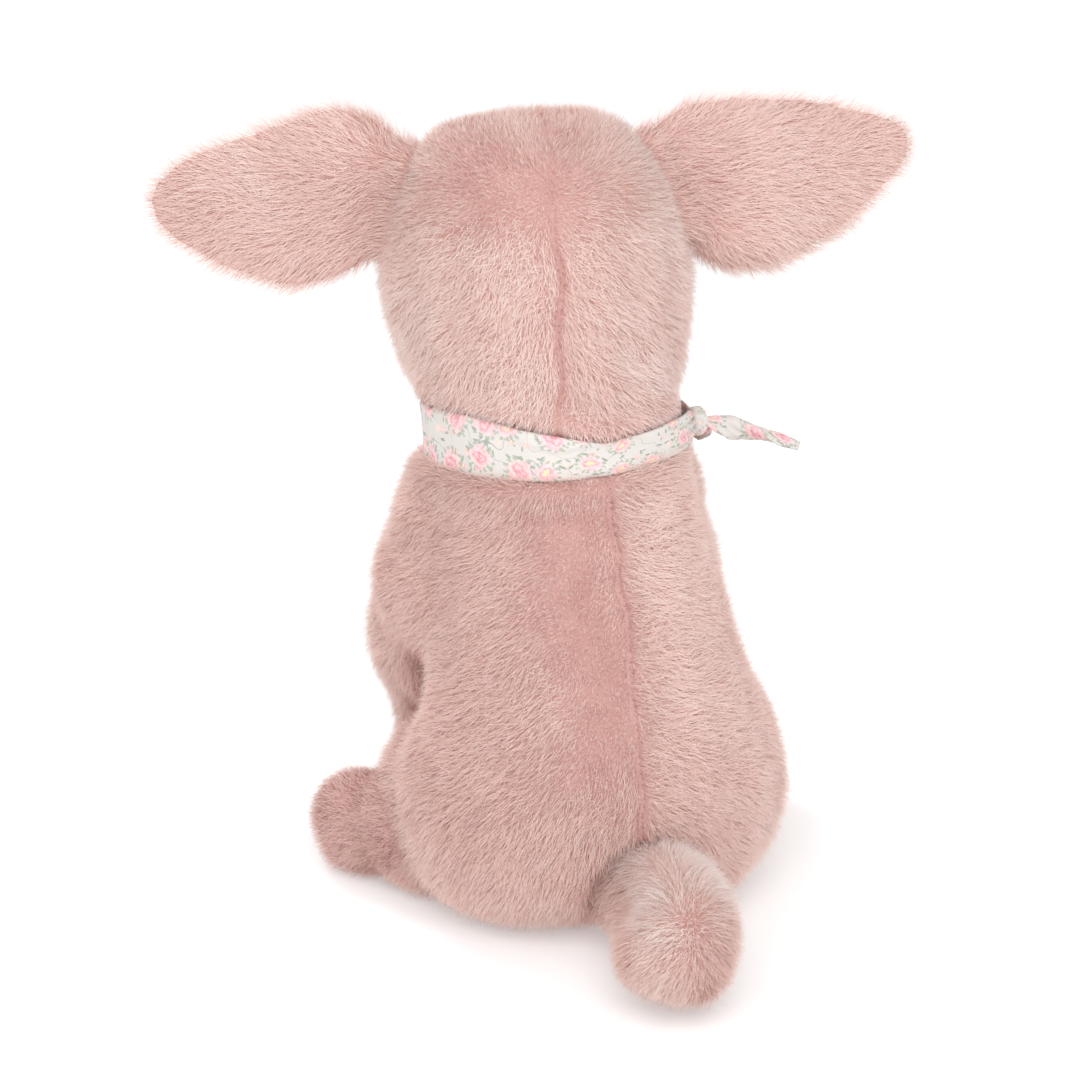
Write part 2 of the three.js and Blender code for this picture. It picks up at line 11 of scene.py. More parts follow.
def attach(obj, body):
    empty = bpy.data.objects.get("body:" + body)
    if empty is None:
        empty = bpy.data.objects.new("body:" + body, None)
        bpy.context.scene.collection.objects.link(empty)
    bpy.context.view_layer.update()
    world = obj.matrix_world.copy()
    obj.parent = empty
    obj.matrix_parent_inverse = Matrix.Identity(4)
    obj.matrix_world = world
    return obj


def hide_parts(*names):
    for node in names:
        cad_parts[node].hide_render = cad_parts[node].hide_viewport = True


# A sitting plush pig in long pale pink fur, with a printed cotton scarf round its neck.
# The toy faces -Y, its own left side is +X, and sizes in the dictionaries are millimetres.

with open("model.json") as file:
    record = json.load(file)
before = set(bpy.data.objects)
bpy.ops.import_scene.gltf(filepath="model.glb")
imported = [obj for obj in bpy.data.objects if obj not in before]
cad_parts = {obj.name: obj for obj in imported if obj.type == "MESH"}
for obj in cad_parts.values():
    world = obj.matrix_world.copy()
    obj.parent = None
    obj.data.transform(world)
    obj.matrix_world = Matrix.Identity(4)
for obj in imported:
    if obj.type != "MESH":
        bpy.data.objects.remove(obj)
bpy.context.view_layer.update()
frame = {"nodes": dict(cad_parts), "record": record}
print("frame loaded:", len(frame["nodes"]), "nodes")

mm = 0.001
scene = bpy.context.scene
dice = np.random.default_rng(11)
joints = {joint["child"]: joint for joint in frame["record"]["behaviour"]["joints"]}


def pivotOf(body):
    return np.array(joints[body]["pos_m"]) / mm


def unit(vectors):
    length = np.linalg.norm(vectors, axis=-1, keepdims=True)
    return vectors / np.maximum(length, 1e-9)


def stepUp(value, low, high):  # 0 below low, 1 above high, smooth between
    share = np.clip((value - low) / (high - low), 0, 1)
    return share * share * (3 - 2 * share)


def hill(value, width):  # 1 at zero, falling off smoothly over width
    return np.exp(-(value / width) ** 2)


def ripple(points, size, seed):  # smooth noise from -1 to 1 with hills about size wide
    waves = np.random.default_rng(seed)
    total = np.zeros(len(points))
    for k in range(9):
        way = unit(waves.normal(size=3)) * 2 * math.pi / (size * waves.uniform(1.4, 2.6))
        total += np.sin(points @ way + waves.uniform(0, 2 * math.pi))
    return np.clip(total / 3.5, -1, 1)


def circle(count):  # even angles round a circle
    return np.linspace(0, 2 * math.pi, count, endpoint=False)


def spokes(turns, one, two):  # directions at the angles in the plane of one and two
    return np.cos(turns)[:, None] * one + np.sin(turns)[:, None] * two


def mirrored(lobes, side):  # the same hills on the toy's left, side 1, or its right, side -1
    return [((x * side, y, z), *rest) for (x, y, z), *rest in lobes]


# Shader helpers


class Wire:
    # one socket of a material, which sums and products turn into Math nodes
    def __init__(self, paint, socket):
        self.paint = paint
        self.socket = socket

    def __add__(self, other):
        return self.paint.maths("ADD", self, other)

    def __sub__(self, other):
        return self.paint.maths("SUBTRACT", self, other)

    def __rsub__(self, other):
        return self.paint.maths("SUBTRACT", other, self)

    def __mul__(self, other):
        return self.paint.maths("MULTIPLY", self, other)

    def __truediv__(self, other):
        return self.paint.maths("DIVIDE", self, other)

    __radd__ = __add__
    __rmul__ = __mul__


class Paint:
    # a material with one Principled shader and the nodes that feed it
    def __init__(self, name, **constants):
        self.material = bpy.data.materials.new(name)
        self.material.use_nodes = True
        self.tree = self.material.node_tree
        self.shader = self.tree.nodes["Principled BSDF"]
        for socket, value in constants.items():
            self.shader.inputs[socket.replace("_", " ")].default_value = value

    def node(self, kind, settings=None, inputs=None, output=0):
        made = self.tree.nodes.new(kind)
        for key, value in (settings or {}).items():
            setattr(made, key, value)
        for key, value in (inputs or {}).items():
            self.feed(made.inputs[key], value)
        return Wire(self, made.outputs[output])

    def feed(self, socket, value):
        if isinstance(value, Wire):
            self.tree.links.new(value.socket, socket)
        else:
            socket.default_value = value

    def maths(self, operation, *values, clamp=False):
        settings = {"operation": operation, "use_clamp": clamp}
        return self.node("ShaderNodeMath", settings, dict(enumerate(values)))

    def mix(self, factor, first, second):
        inputs = {0: factor, 6: first, 7: second}
        return self.node("ShaderNodeMix", {"data_type": "RGBA"}, inputs, output=2)

    def blend(self, value, low, deep, high, pale):  # base colour from deep where value is low to pale
        ramp = self.tree.nodes.new("ShaderNodeValToRGB")
        for element, place, tone in zip(ramp.color_ramp.elements, (low, high), (deep, pale)):
            element.position = place
            element.color = linear(tone)
        self.feed(ramp.inputs[0], value)
        self.set("Base Color", Wire(self, ramp.outputs[0]))

    def noise(self, where, scale, detail=2.0, roughness=0.5):
        inputs = {"Vector": where, "Scale": scale, "Detail": detail, "Roughness": roughness}
        return self.node("ShaderNodeTexNoise", {}, inputs)

    def place(self):  # the piece's own coordinates, in metres
        return self.node("ShaderNodeTexCoord", output=3)

    def bump(self, height, strength, distance):
        inputs = {"Height": height, "Strength": strength, "Distance": distance}
        self.set("Normal", self.node("ShaderNodeBump", {}, inputs))

    def set(self, socket, value):
        self.feed(self.shader.inputs[socket], value)


def linear(tone):  # an sRGB colour from 0 to 255 as Blender's own linear one
    parts = [part / 255 for part in tone]
    return (*(part / 12.92 if part < 0.04045 else ((part + 0.055) / 1.055) ** 2.4 for part in parts), 1.0)


# Mesh helpers


def addObject(name, mesh, *materials):
    thing = bpy.data.objects.new(name, mesh)
    scene.collection.objects.link(thing)
    for material in materials:
        mesh.materials.append(material)
    return thing


def pieceOf(name, points, faces, material):  # a smooth piece from points in millimetres
    mesh = bpy.data.meshes.new(name)
    mesh.from_pydata((np.asarray(points) * mm).tolist(), [], faces)
    mesh.shade_smooth()
    return addObject(name, mesh, material)


def ringFaces(steps, around, closed=False):
    # the (ring, place) pairs of each face between rings of points, and of an end face at each open end
    for k in range(steps if closed else steps - 1):
        for i in range(around):
            yield (k, i), (k, i + 1), (k + 1, i + 1), (k + 1, i)
    if not closed:
        yield [(0, i) for i in reversed(range(around))]
        yield [(steps - 1, i) for i in range(around)]


def applied(thing):  # bakes an object's modifiers into its mesh
    graph = bpy.context.evaluated_depsgraph_get()
    graph.update()
    mesh = bpy.data.meshes.new_from_object(thing.evaluated_get(graph))
    thing.modifiers.clear()
    thing.data = mesh
    for face in mesh.polygons:
        face.use_smooth = True
    return thing


def pointsOf(mesh):
    found = np.zeros(len(mesh.vertices) * 3)
    mesh.vertices.foreach_get("co", found)
    return found.reshape(-1, 3) / mm


def normalsOf(mesh):
    found = np.zeros(len(mesh.vertices) * 3, np.float32)
    mesh.vertex_normals.foreach_get("vector", found)
    return found.reshape(-1, 3).astype(float)


def movePoints(mesh, points):
    mesh.vertices.foreach_set("co", (points * mm).ravel())
    mesh.update()


def treeOf(mesh):  # for finding places on a mesh, in millimetres
    return BVHTree.FromPolygons(pointsOf(mesh).tolist(), [tuple(face.vertices) for face in mesh.polygons])


def faceOutward(mesh):
    build = bmesh.new()
    build.from_mesh(mesh)
    bmesh.ops.recalc_face_normals(build, faces=build.faces)
    build.to_mesh(mesh)
    build.free()


def fused(name, nodes, sizes, material, extra=()):
    # one smooth closed skin round some CAD nodes, and round any extra ellipsoids: (middle, radii)
    mesh = bpy.data.meshes.new(name)
    build = bmesh.new()
    for node in nodes:
        build.from_mesh(frame["nodes"][node].data)
    for middle, radii in extra:
        shape = Matrix.Translation(Vector(middle) * mm) @ Matrix.Diagonal((*(Vector(radii) * mm), 1))
        bmesh.ops.create_icosphere(build, subdivisions=4, radius=1, matrix=shape)
    build.to_mesh(mesh)
    build.free()
    skin = addObject(name, mesh)
    remesh = skin.modifiers.new("fuse", "REMESH")
    remesh.mode = "VOXEL"
    remesh.voxel_size = sizes["voxel"] * mm
    even = skin.modifiers.new("even", "SMOOTH")
    even.iterations = sizes["smoothing"]
    even.factor = 0.5
    applied(skin)
    skin.data.materials.clear()
    skin.data.materials.append(material)
    return skin


def swell(skin, lobes):  # pushes soft hills out of a skin, or hollows in: (middle, reach, height)
    points = pointsOf(skin.data)
    normals = normalsOf(skin.data)
    for middle, reach, height in lobes:
        away = np.linalg.norm((points - np.array(middle)) / np.array(reach), axis=1)
        points += normals * (height * np.exp(-away ** 2))[:, None]
    points[:, 2] = np.maximum(points[:, 2], 0)
    movePoints(skin.data, points)


# Fur


fur = {  # a coat's own look may say otherwise
    "width": 0.16,  # of a strand at its root
    "widths": (0.75, 1.2),  # least and most, as shares of the width
    "widthShares": (1.0, 0.85),  # at the root and at the bend
    "depthShare": 0.5,
    "rollDegrees": 34,
    "lengths": (0.7, 1.14),  # least and most, as shares of the length
    "wisps": (0.04, 1.3),  # share of the strands that are longer, and by how much
    "bend": 0.45,  # where along its length a strand bends
    "droop": 0.12,
    "sunk": 0.4,  # how deep the root stands in the skin
    "lock": 1.9,  # size of the small locks that the tips gather in
    "clump": 0.08,  # how far they gather
    "stray": 0.58,  # how far single strands leave the lay of the pile
    "wander": 0.42,  # how far patches of strands leave it
    "pale": 0.2,  # how much paler the tips are
    "toneSpreads": (0.06, 0.06, 0.05),  # from strand to strand, over broad patches and over fine ones
    "floorClear": 0.25,
    "skinLight": 0.85,  # how far a strand takes its light from the skin's direction
    "mostStrands": 22000,  # in one mesh
}
furTones = {
    "count": 12,
    "places": (0.0, 0.14, 0.34, 0.56, 0.82, 1.0),  # from deep to pale
    "colours": (
        (172, 128, 122), (201, 155, 148), (230, 191, 182), (241, 210, 201), (247, 222, 214), (251, 237, 232),
    ),
}


def furMaterials():
    made = []
    for k in range(furTones["count"]):
        share = k / (furTones["count"] - 1)
        tone = [np.interp(share, furTones["places"], channel) for channel in zip(*furTones["colours"])]
        paint = Paint(f"furTone{k:02d}", Roughness=0.95, Specular_IOR_Level=0.02)
        paint.set("Base Color", linear(tone))
        made.append(paint.material)
    return made


def scatter(mesh, density):  # even places over a mesh, with the skin's direction at each
    mesh.calc_loop_triangles()
    corners = np.zeros(len(mesh.loop_triangles) * 3, np.int32)
    mesh.loop_triangles.foreach_get("vertices", corners)
    corners = corners.reshape(-1, 3)
    points, normals = pointsOf(mesh), normalsOf(mesh)
    a, b, c = (points[corners[:, k]] for k in range(3))
    ends = np.cumsum(np.linalg.norm(np.cross(b - a, c - a), axis=1) / 2)
    count = int(ends[-1] * density)
    picks = (np.arange(count) + dice.random(count)) / count * ends[-1]
    which = np.minimum(np.searchsorted(ends, picks), len(ends) - 1)
    u, v = dice.random(count), dice.random(count)
    over = u + v > 1
    u, v = np.where(over, 1 - u, u)[:, None], np.where(over, 1 - v, v)[:, None]
    places = a[which] * (1 - u - v) + b[which] * u + c[which] * v
    na, nb, nc = (normals[corners[which, k]] for k in range(3))
    return places, unit(na * (1 - u - v) + nb * u + nc * v)


def gathering(roots, tips, size):  # from each tip to the middle of its lock's tips
    wander = np.stack([ripple(roots, size * 2, k) for k in (1, 2, 3)], axis=1)
    _, lock = np.unique(np.floor(roots / size + 0.35 * wander).astype(int), axis=0, return_inverse=True)
    lock = lock.ravel()
    sums = np.zeros((lock.max() + 1, 3))
    np.add.at(sums, lock, tips)
    return (sums / np.bincount(lock)[:, None])[lock] - tips


def strandSpines(p, n, flow, length, lift, stray, clump, look):  # root, bend and tip of each strand
    count = len(p)
    wander = np.stack([ripple(p, 9, k) for k in (21, 22, 23)], axis=1)
    along = flow(p, n) + look["wander"] * wander + dice.normal(size=(count, 3)) * stray[:, None]
    along = unit(along - (along * n).sum(axis=1, keepdims=True) * n)
    lift = np.clip(lift + dice.normal(0, 0.08, count) + 0.1 * ripple(p, 6, 31), 0.06, 0.97)[:, None]
    first = unit(n * (lift + 0.28) + along * (1 - lift))
    last = unit(n * (lift * 0.62) + along * (1 - lift * 0.62) + np.array([0, 0, -fur["droop"]]))
    root = p - n * fur["sunk"]
    bend = root + unit(first * 0.75 + last * 0.25) * (length * fur["bend"])[:, None]
    tip = bend + unit(first * 0.25 + last * 0.75) * (length * (1 - fur["bend"]))[:, None]
    pull = gathering(p, tip, look["lock"]) * clump[:, None]
    pull = pull - (pull * n).sum(axis=1, keepdims=True) * n * 0.7
    bend, tip = bend + pull * 0.35, tip + pull
    for part in (bend, tip):
        part[:, 2] = np.maximum(part[:, 2], fur["floorClear"])
    return root, bend, tip


def strandCorners(spine, n, width):
    # seven corners of a thin three-sided strand, and the shading at each corner of its six faces: the flat
    # outer faces take it from the skin, and the two under them from their own direction
    count = len(n)
    whole = unit(spine[2] - spine[0])
    aside = unit(np.cross(whole, n) + dice.normal(0, 0.05, (count, 3)))
    inward = np.cross(whole, aside)
    half = (width * dice.uniform(*fur["widths"], count))[:, None] / 2
    roll = np.radians(dice.uniform(-1, 1, count) * fur["rollDegrees"])[:, None]
    aside, inward = aside * np.cos(roll) + inward * np.sin(roll), inward * np.cos(roll) - aside * np.sin(roll)
    ways = [aside, inward * fur["depthShare"], -aside]
    corners = [spine[k] + way * half * fur["widthShares"][k] for k in range(2) for way in ways]
    a, b = (unit(inward + way * fur["depthShare"]) for way in (aside, -aside))
    c, d = (unit(n * fur["skinLight"] + way * (1 - fur["skinLight"])) for way in (aside, -aside))
    shading = [a] * 4 + [b] * 4 + [d, c, c, d] + [a] * 3 + [b] * 3 + [d, c, n]
    return np.stack(corners + [spine[2]], axis=1), np.stack(shading, axis=1)


def strandTones(base, pale):  # the tip is paler than the root
    steps = [base - pale * 0.6, base + pale * dice.uniform(0.0, 1.0, len(base))]
    most = furTones["count"] - 1
    tones = np.stack([np.clip(np.rint(step * most), 0, most) for step in steps], axis=1).astype(np.int32)
    return np.repeat(tones, 3, axis=1)


def strandMesh(name, corners, shade, tones):  # three faces from root to bend and three to the tip
    count = len(corners)
    start = (np.arange(count) * 7)[:, None]
    outline = start + np.array([[0, 1, 4, 3, 1, 2, 5, 4, 2, 0, 3, 5, 3, 4, 6, 4, 5, 6, 5, 3, 6]])
    mesh = bpy.data.meshes.new(name)
    mesh.vertices.add(count * 7)
    mesh.vertices.foreach_set("co", (corners.reshape(-1, 3) * mm).ravel())
    mesh.loops.add(count * 21)
    mesh.loops.foreach_set("vertex_index", outline.ravel().astype(np.int32))
    mesh.polygons.add(count * 6)
    starts = (np.arange(count) * 21)[:, None] + np.array([[0, 4, 8, 12, 15, 18]])
    mesh.polygons.foreach_set("loop_start", starts.ravel().astype(np.int32))
    mesh.polygons.foreach_set("material_index", tones.ravel())
    mesh.update(calc_edges=True)
    mesh.shade_smooth()
    mesh.normals_split_custom_set(shade.reshape(-1, 3).tolist())
    return mesh


def coat(name, skin, look, flow, body, inside=None):
    # a look has density in strands per mm2, and length, lift from 0 flat to 1 upright, stray, clump and
    # tone from 0 deep to 1 pale, each a number or a function of the places p and the skin's directions n
    look = {**fur, **look}
    p, n = scatter(skin.data, look["density"])
    keep = ~((p[:, 2] < 1.2) & (n[:, 2] < -0.6))  # none where the toy sits on the floor
    if "keep" in look:
        keep &= look["keep"](p, n)
    if inside:
        keep &= ~buried(p, inside)
    p, n = p[keep], n[keep]
    count = len(p)

    def value(key):
        given = look[key]
        return np.asarray(given(p, n), float) if callable(given) else np.full(count, float(given))

    wisps = np.where(dice.random(count) < fur["wisps"][0], fur["wisps"][1], 1.0)
    length = value("length") * dice.uniform(*fur["lengths"], count) * wisps
    spine = strandSpines(p, n, flow, length, value("lift"), value("stray"), value("clump"), look)
    corners, shade = strandCorners(spine, n, look["width"])
    single, broad, fine = fur["toneSpreads"]
    base = value("tone") + dice.normal(0, single, count) + broad * ripple(p, 18, 41) + fine * ripple(p, 4, 42)
    tones = strandTones(base, look["pale"])
    shares = math.ceil(count / fur["mostStrands"])
    for k, part in enumerate(np.array_split(np.arange(count), shares)):
        label = f"{name}{k + 1}" if shares > 1 else name
        pelt = addObject(label, strandMesh(label, corners[part], shade[part], tones[part]), *furPaints)
        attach(pelt, body)
    print("  fur", name, count, "strands")


def buried(points, skin):  # which places lie well inside another skin
    found = np.zeros(len(points), bool)
    tree = treeOf(skin.data)
    for k, point in enumerate(points):
        place, normal, _, away = tree.find_nearest(Vector(point), 30)
        if place and (Vector(point) - place).dot(normal) < 0 and away > 1.5:
            found[k] = True
    return found


# Materials


def undercoatPaint(name, deep, mid):  # the dense short pile that shows between the strands
    paint = Paint(name, Roughness=0.95, Sheen_Weight=0.2, Specular_IOR_Level=0.15)
    where = paint.place()
    fine = paint.noise(where, 1400, detail=3, roughness=0.65)
    broad = paint.noise(where, 90, detail=2)
    shade = paint.maths("ADD", fine * 0.7, broad * 0.4, clamp=True)
    paint.blend(shade, 0.3, deep, 0.75, mid)
    paint.bump(fine, 0.8, 0.0006)
    return paint.material


def velvetPaint(name, deep, pale):  # short smooth pile
    paint = Paint(name, Roughness=0.8, Sheen_Weight=0.45, Sheen_Roughness=0.4, Specular_IOR_Level=0.2)
    where = paint.place()
    fine = paint.noise(where, 2600, detail=3, roughness=0.6)
    broad = paint.noise(where, 70, detail=3)
    shade = paint.maths("ADD", fine * 0.45, broad * 0.55, clamp=True)
    paint.blend(shade, 0.35, deep, 0.65, pale)
    paint.bump(fine + broad * 0.6, 0.5, 0.0004)
    return paint.material


furPaints = furMaterials()
liningVelvet = velvetPaint("liningVelvet", (226, 178, 168), (240, 204, 194))
snoutVelvet = velvetPaint("snoutVelvet", (216, 150, 142), (232, 176, 166))
undercoat = undercoatPaint("undercoat", (182, 135, 129), (214, 174, 166))
print("materials made")


def furSkin(name, body, nodes, sizes, extra=()):  # a skin under fur, in place of some CAD nodes
    skin = fused(name, nodes, sizes, undercoat, extra)
    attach(skin, body)
    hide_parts(*nodes)
    return skin


# The scarf's two edges, which the fur above and below it follows

scarf = {
    "radius": 42.4,  # to the cloth's inner side
    "thickness": 1.5,
    "width": 18.0,  # of the cloth
    "turns": (0, 30, 60, 90, 125, 150, 163, 200, 250, 300, 335, 360),  # degrees round the neck, 90 behind
    "tops": (12.6, 12.8, 8.4, 3.0, 5.6, 5.6, 3.4, 5.0, 8.0, 10.0, 12.0, 12.6),
    "bottoms": (-6.2, -7.2, -8.1, -7.8, -5.8, -5.2, -3.4, -4.6, -7.0, -8.0, -7.0, -6.2),
    "knotDegrees": 163,
}
neckPoint = pivotOf("neck")
neckUp = unit(np.array(joints["head"]["axis"]))
neckSide = np.array([1.0, 0, 0])
neckBack = np.cross(neckUp, neckSide)


def neckFrame(points):  # height above the neck's middle, distance from its axis, degrees round it
    q = points - neckPoint
    x, y = q @ neckSide, q @ neckBack
    return q @ neckUp, np.hypot(x, y), np.degrees(np.arctan2(y, x)) % 360


def neckPlace(up, away, degrees):
    turn = np.radians(degrees)
    outward = np.cos(turn)[..., None] * neckSide + np.sin(turn)[..., None] * neckBack
    return neckPoint + np.asarray(up)[..., None] * neckUp + np.asarray(away)[..., None] * outward


def scarfTop(degrees):
    return np.interp(degrees, scarf["turns"], scarf["tops"])


def scarfBottom(degrees):
    return np.interp(degrees, scarf["turns"], scarf["bottoms"])


def besideNeck(lobe):  # a hill or hollow given by its height on the neck, distance from its axis and turn
    up, away, turn, reach, height = lobe
    return neckPlace(up, away, turn), (reach, reach, reach), height


rim = {
    "seat": 40.0,  # radius of the ball that head and torso leave free for the neck
    "reach": 30,  # how far from the scarf the skin is drawn along
    "tuck": 3.4,  # how far it goes under the scarf
    "lip": 41.6,  # its greatest radius there
    "taper": 12,
    "step": 6,  # degrees between the places where its end is found
    "turns": (0, 90, 130, 160, 195, 260, 360),
    "above": (44, 44.5, 42.6, 39.6, 41.6, 44, 44),  # from the neck's axis to the fur's skin beside the scarf
    "below": (48, 46, 44.2, 40.8, 43.4, 46, 48),
}


def rimToScarf(skin, above):  # draws the skin's open end to the edge of the scarf and just under it
    points = pointsOf(skin.data)
    up, away, turn = neckFrame(points)
    way = 1 if above else -1
    near = np.linalg.norm(points - neckPoint, axis=1) < rim["seat"] + 12
    stops = np.arange(0, 361, rim["step"])
    for _ in range(2):
        found = [near & (np.abs((turn - stop + 180) % 360 - 180) < rim["step"] * 0.7) for stop in stops]
        end = np.interp(turn, stops, [way * (way * up[pick]).min() for pick in found])
        edge = scarfTop(turn) - rim["tuck"] if above else scarfBottom(turn) + rim["tuck"]
        share = 1 - stepUp((up - end) * way, 0, rim["reach"])
        points = points + neckUp * ((edge - end) * share)[:, None]
        up, away, turn = neckFrame(points)
    hem = scarfTop(turn) if above else scarfBottom(turn)
    wanted = np.interp(turn, rim["turns"], rim["above" if above else "below"])
    away = away + (wanted - away) * (1 - stepUp(np.abs(up - hem), 2, rim["taper"])) * 0.9
    under = 1 - stepUp((up - hem) * way, -1, 2.5)
    away = away - np.maximum(away - rim["lip"], 0) * under
    points = neckPlace(up, away, turn)
    off = points - neckPoint
    short = (np.linalg.norm(off, axis=1) < rim["seat"]) & (np.abs(up) < 24)
    points[short] = neckPoint + unit(off[short]) * rim["seat"]
    movePoints(skin.data, points)


def onOutside(p, n):  # leaves out the seat of the neck's ball
    off = p - neckPoint
    return (np.linalg.norm(off, axis=1) > rim["seat"] + 0.6) | ((n * off).sum(axis=1) > 0)


def besideKnot(p):  # 1 where the tight scarf flattens the pile above and below its knot
    return hill(neckFrame(p)[2] - 165, 28)


def steady(way):  # a flow that is the same everywhere
    return lambda p, n: np.tile(way, (len(p), 1))


def parting(beside):  # 1 where the pile lies away from a seam, by the distance from its line
    return hill(beside, 2.4)


# Torso

torso = {
    "voxel": 2.0,
    "smoothing": 18,
    "fill": 0.75,
    "limbRoots": [  # shoulder, then haunch
        ((33, -39, 96), (21.5, 30, 29)),
        ((33, -48, 80), (20, 20, 29)),
        ((30, -38, 120), (21, 24, 20)),
        ((41.5, -18, 30), (21, 34, 29)),
        ((44, -26, 13), (21, 26, 15)),
    ],
    "flank": [((50, -27, 66), (14, 14, 13), -7.0)],  # hollow beside the front leg
    "narrow": (-16, 48, 165, 16, -7),  # where the knotted scarf draws the fur in
    "lobes": [
        ((55, -48, 102), (12, 20, 13), 3.0),
        ((-55, -48, 104), (12, 20, 13), 2.0),
        ((43, -50, 142), (8, 14, 5), 1.6),
        ((50, -50, 128), (8, 14, 8), -1.3),
        ((54, -50, 75), (10, 18, 9), -2.0),
        ((52, -50, 42), (8, 10, 7), -2.0),
        ((-60, 5, 45), (16, 26, 30), 2.6),
        ((-58, 8, 24), (14, 24, 14), 1.8),
        ((-50, 0, 92), (14, 22, 22), 1.0),
        ((14, 45, 2), (30, 18, 12), -4.5),
    ],
    "crease": ((44, -32, 67), (9, 9, 15)),  # middle and reach of the shade between flank and front leg
    "density": 2.45,
    "length": 7.0,
    "shortest": 1.6,
    "lift": 0.54,
    "tone": 0.68,
}


def torsoMiddleY(z):
    return -30 * stepUp(z, 10, 150)


def offBackSeam(p):  # how far a place lies to the left of the thin wavy line of the back seam
    return p[:, 0] - 1.2 * ripple(p, 13, 53)


def besideBackSeam(p):
    return np.abs(offBackSeam(p)) + 50 * (torsoMiddleY(p[:, 2]) > p[:, 1]) + 50 * (p[:, 2] < 30)


def fromBackSeam(p):  # level direction from the back seam round each side to the front
    y = p[:, 1] - torsoMiddleY(p[:, 2])
    side = np.where(offBackSeam(p) >= 0, 1.0, -1.0)
    return unit(np.stack([side * y, -side * p[:, 0], np.zeros(len(p))], axis=1)), y


def torsoFlow(p, n):
    around, y = fromBackSeam(p)
    low = 1 - stepUp(p[:, 2], 15, 75)
    left = stepUp(p[:, 0], -6, 8)
    front = stepUp(-y, 10, 50)
    level = (0.9 - 0.5 * front) * np.maximum(stepUp(np.abs(p[:, 0]), -1, 4), parting(besideBackSeam(p)))
    down = 0.22 + 0.75 * left + 0.7 * low + 0.8 * front
    return around * level[:, None] - np.array([0, 0, 1.0]) * down[:, None]


def backBand(p):  # 1 where the pile of the back stands up and shows its deeper colour
    y = p[:, 1] - torsoMiddleY(p[:, 2])
    across = hill(p[:, 0] - 13 + 4 * ripple(p, 30, 51), 15)
    return across * stepUp(y, 5, 30) * stepUp(p[:, 2], 42, 70) * (1 - stepUp(p[:, 2], 136, 150))


def backSeam(p):
    return hill(besideBackSeam(p), 0.9) * (0.75 + 0.25 * ripple(p, 14, 52))


def makeTorso():
    extra = mirrored(torso["limbRoots"], 1) + mirrored(torso["limbRoots"], -1)
    skin = furSkin("torsoSkin", "torso", ["body_cover", "body_stuffing"], torso, extra)
    swell(skin, mirrored(torso["flank"], 1) + mirrored(torso["flank"], -1))
    swell(skin, [besideNeck(torso["narrow"]), *torso["lobes"]])
    rimToScarf(skin, above=False)

    def toScarf(p, far, near):  # 0 to 1 from far below the scarf's edge to near it
        up, _, turn = neckFrame(p)
        return stepUp(up, scarfBottom(turn) - far, scarfBottom(turn) - near)

    def onRight(p):
        return stepUp(-p[:, 0], 2, 14)

    # painted shade where the tail meets the torso
    def shadeByTail(p):
        return hill(np.linalg.norm(p - pivotOf("tail"), axis=1), 26)

    def crease(p):
        middle, reach = torso["crease"]
        away = (np.abs(p) * (1, 0, 1) + p * (0, 1, 0) - np.array(middle)) / np.array(reach)
        return np.exp(-(away ** 2).sum(axis=1))

    def tone(p, n):
        deeperPileAndShade = 0.2 * backBand(p) + 0.75 * backSeam(p) + 0.08 * parting(besideBackSeam(p))
        # painted shade by the tail root
        deeperPileAndShade += 0.25 * shadeByTail(p)
        deeperPileAndShade += (0.14 * dice.normal(size=len(p)) + 0.34 * ripple(p, 0.65, 56)) * backBand(p)
        # painted shade in the crease by each front leg and on both sides of the torso, most on its left
        deeperPileAndShade += 0.8 * crease(p) + 0.22 * stepUp(p[:, 0], 16, 46) + 0.06 * stepUp(-p[:, 0], 8, 30)
        return torso["tone"] - deeperPileAndShade

    def length(p, n):
        low = (1 - stepUp(p[:, 2], 2, 14)) * stepUp(p[:, 1], 0, 25)
        beside = parting(besideBackSeam(p))
        short = 4.4 * backBand(p) * (1 - 0.6 * beside) + 2.8 * beside
        short += 1.8 * toScarf(p, 9, 2) + 2 * low + 2 * besideKnot(p) * toScarf(p, 22, 4)
        return np.maximum(torso["length"] - short, torso["shortest"])

    def lift(p, n):
        right = onRight(p)
        upright = (0.4 + 0.1 * right) * backBand(p) * (1 - 0.6 * parting(besideBackSeam(p)))
        return torso["lift"] - 0.14 * right + upright + 0.3 * toScarf(p, 9, 2)

    def stray(p, n):  # calmer on the right and along the seam
        return fur["stray"] * (1 - np.maximum(0.4 * onRight(p), 0.6 * parting(besideBackSeam(p))))

    look = {
        "density": torso["density"],
        "keep": lambda p, n: onOutside(p, n) & (besideBackSeam(p) > 0.1 + 0.1 * ripple(p, 9, 54)),
        "length": length,
        "lift": lift,
        "tone": tone,
        "stray": stray,
        "clump": lambda p, n: 0.1 + 0.14 * backBand(p) - 0.06 * onRight(p),
    }
    coat("furTorso", skin, look, torsoFlow, "torso")
    return skin


torsoSkin = makeTorso()
print("torso made")


# Neck and head

neck = {"voxel": 2.0, "smoothing": 6, "fill": 0.8, "madeRadius": 43.5}
head = {
    "voxel": 1.8,
    "smoothing": 9,
    "fill": 0.8,
    "yawDegrees": -14,  # the head looks a little to the toy's right
    "aside": 3,  # of the seam from the neck's middle, as the head sees it
    "skull": [((2, -46, 226), (33, 34, 26))],
    "narrow": (20, 48, 165, 17, -5),
    "lobes": [
        ((28, -46, 243), (14, 18, 11), 6.4),
        ((-21, -46, 244), (12, 18, 11), 3.6),
        ((2, -46, 252), (14, 20, 10), -1.6),
        ((50, -45, 200), (10, 16, 10), 2.6),
        ((45, -42, 177), (12, 16, 10), -2.4),
        ((-45, -25, 199), (10, 16, 11), 2.6),
    ],
    "density": 2.4,
    "length": 6.7,
    "shortest": 1.5,
    "lift": 0.54,
    "tone": 0.74,
}


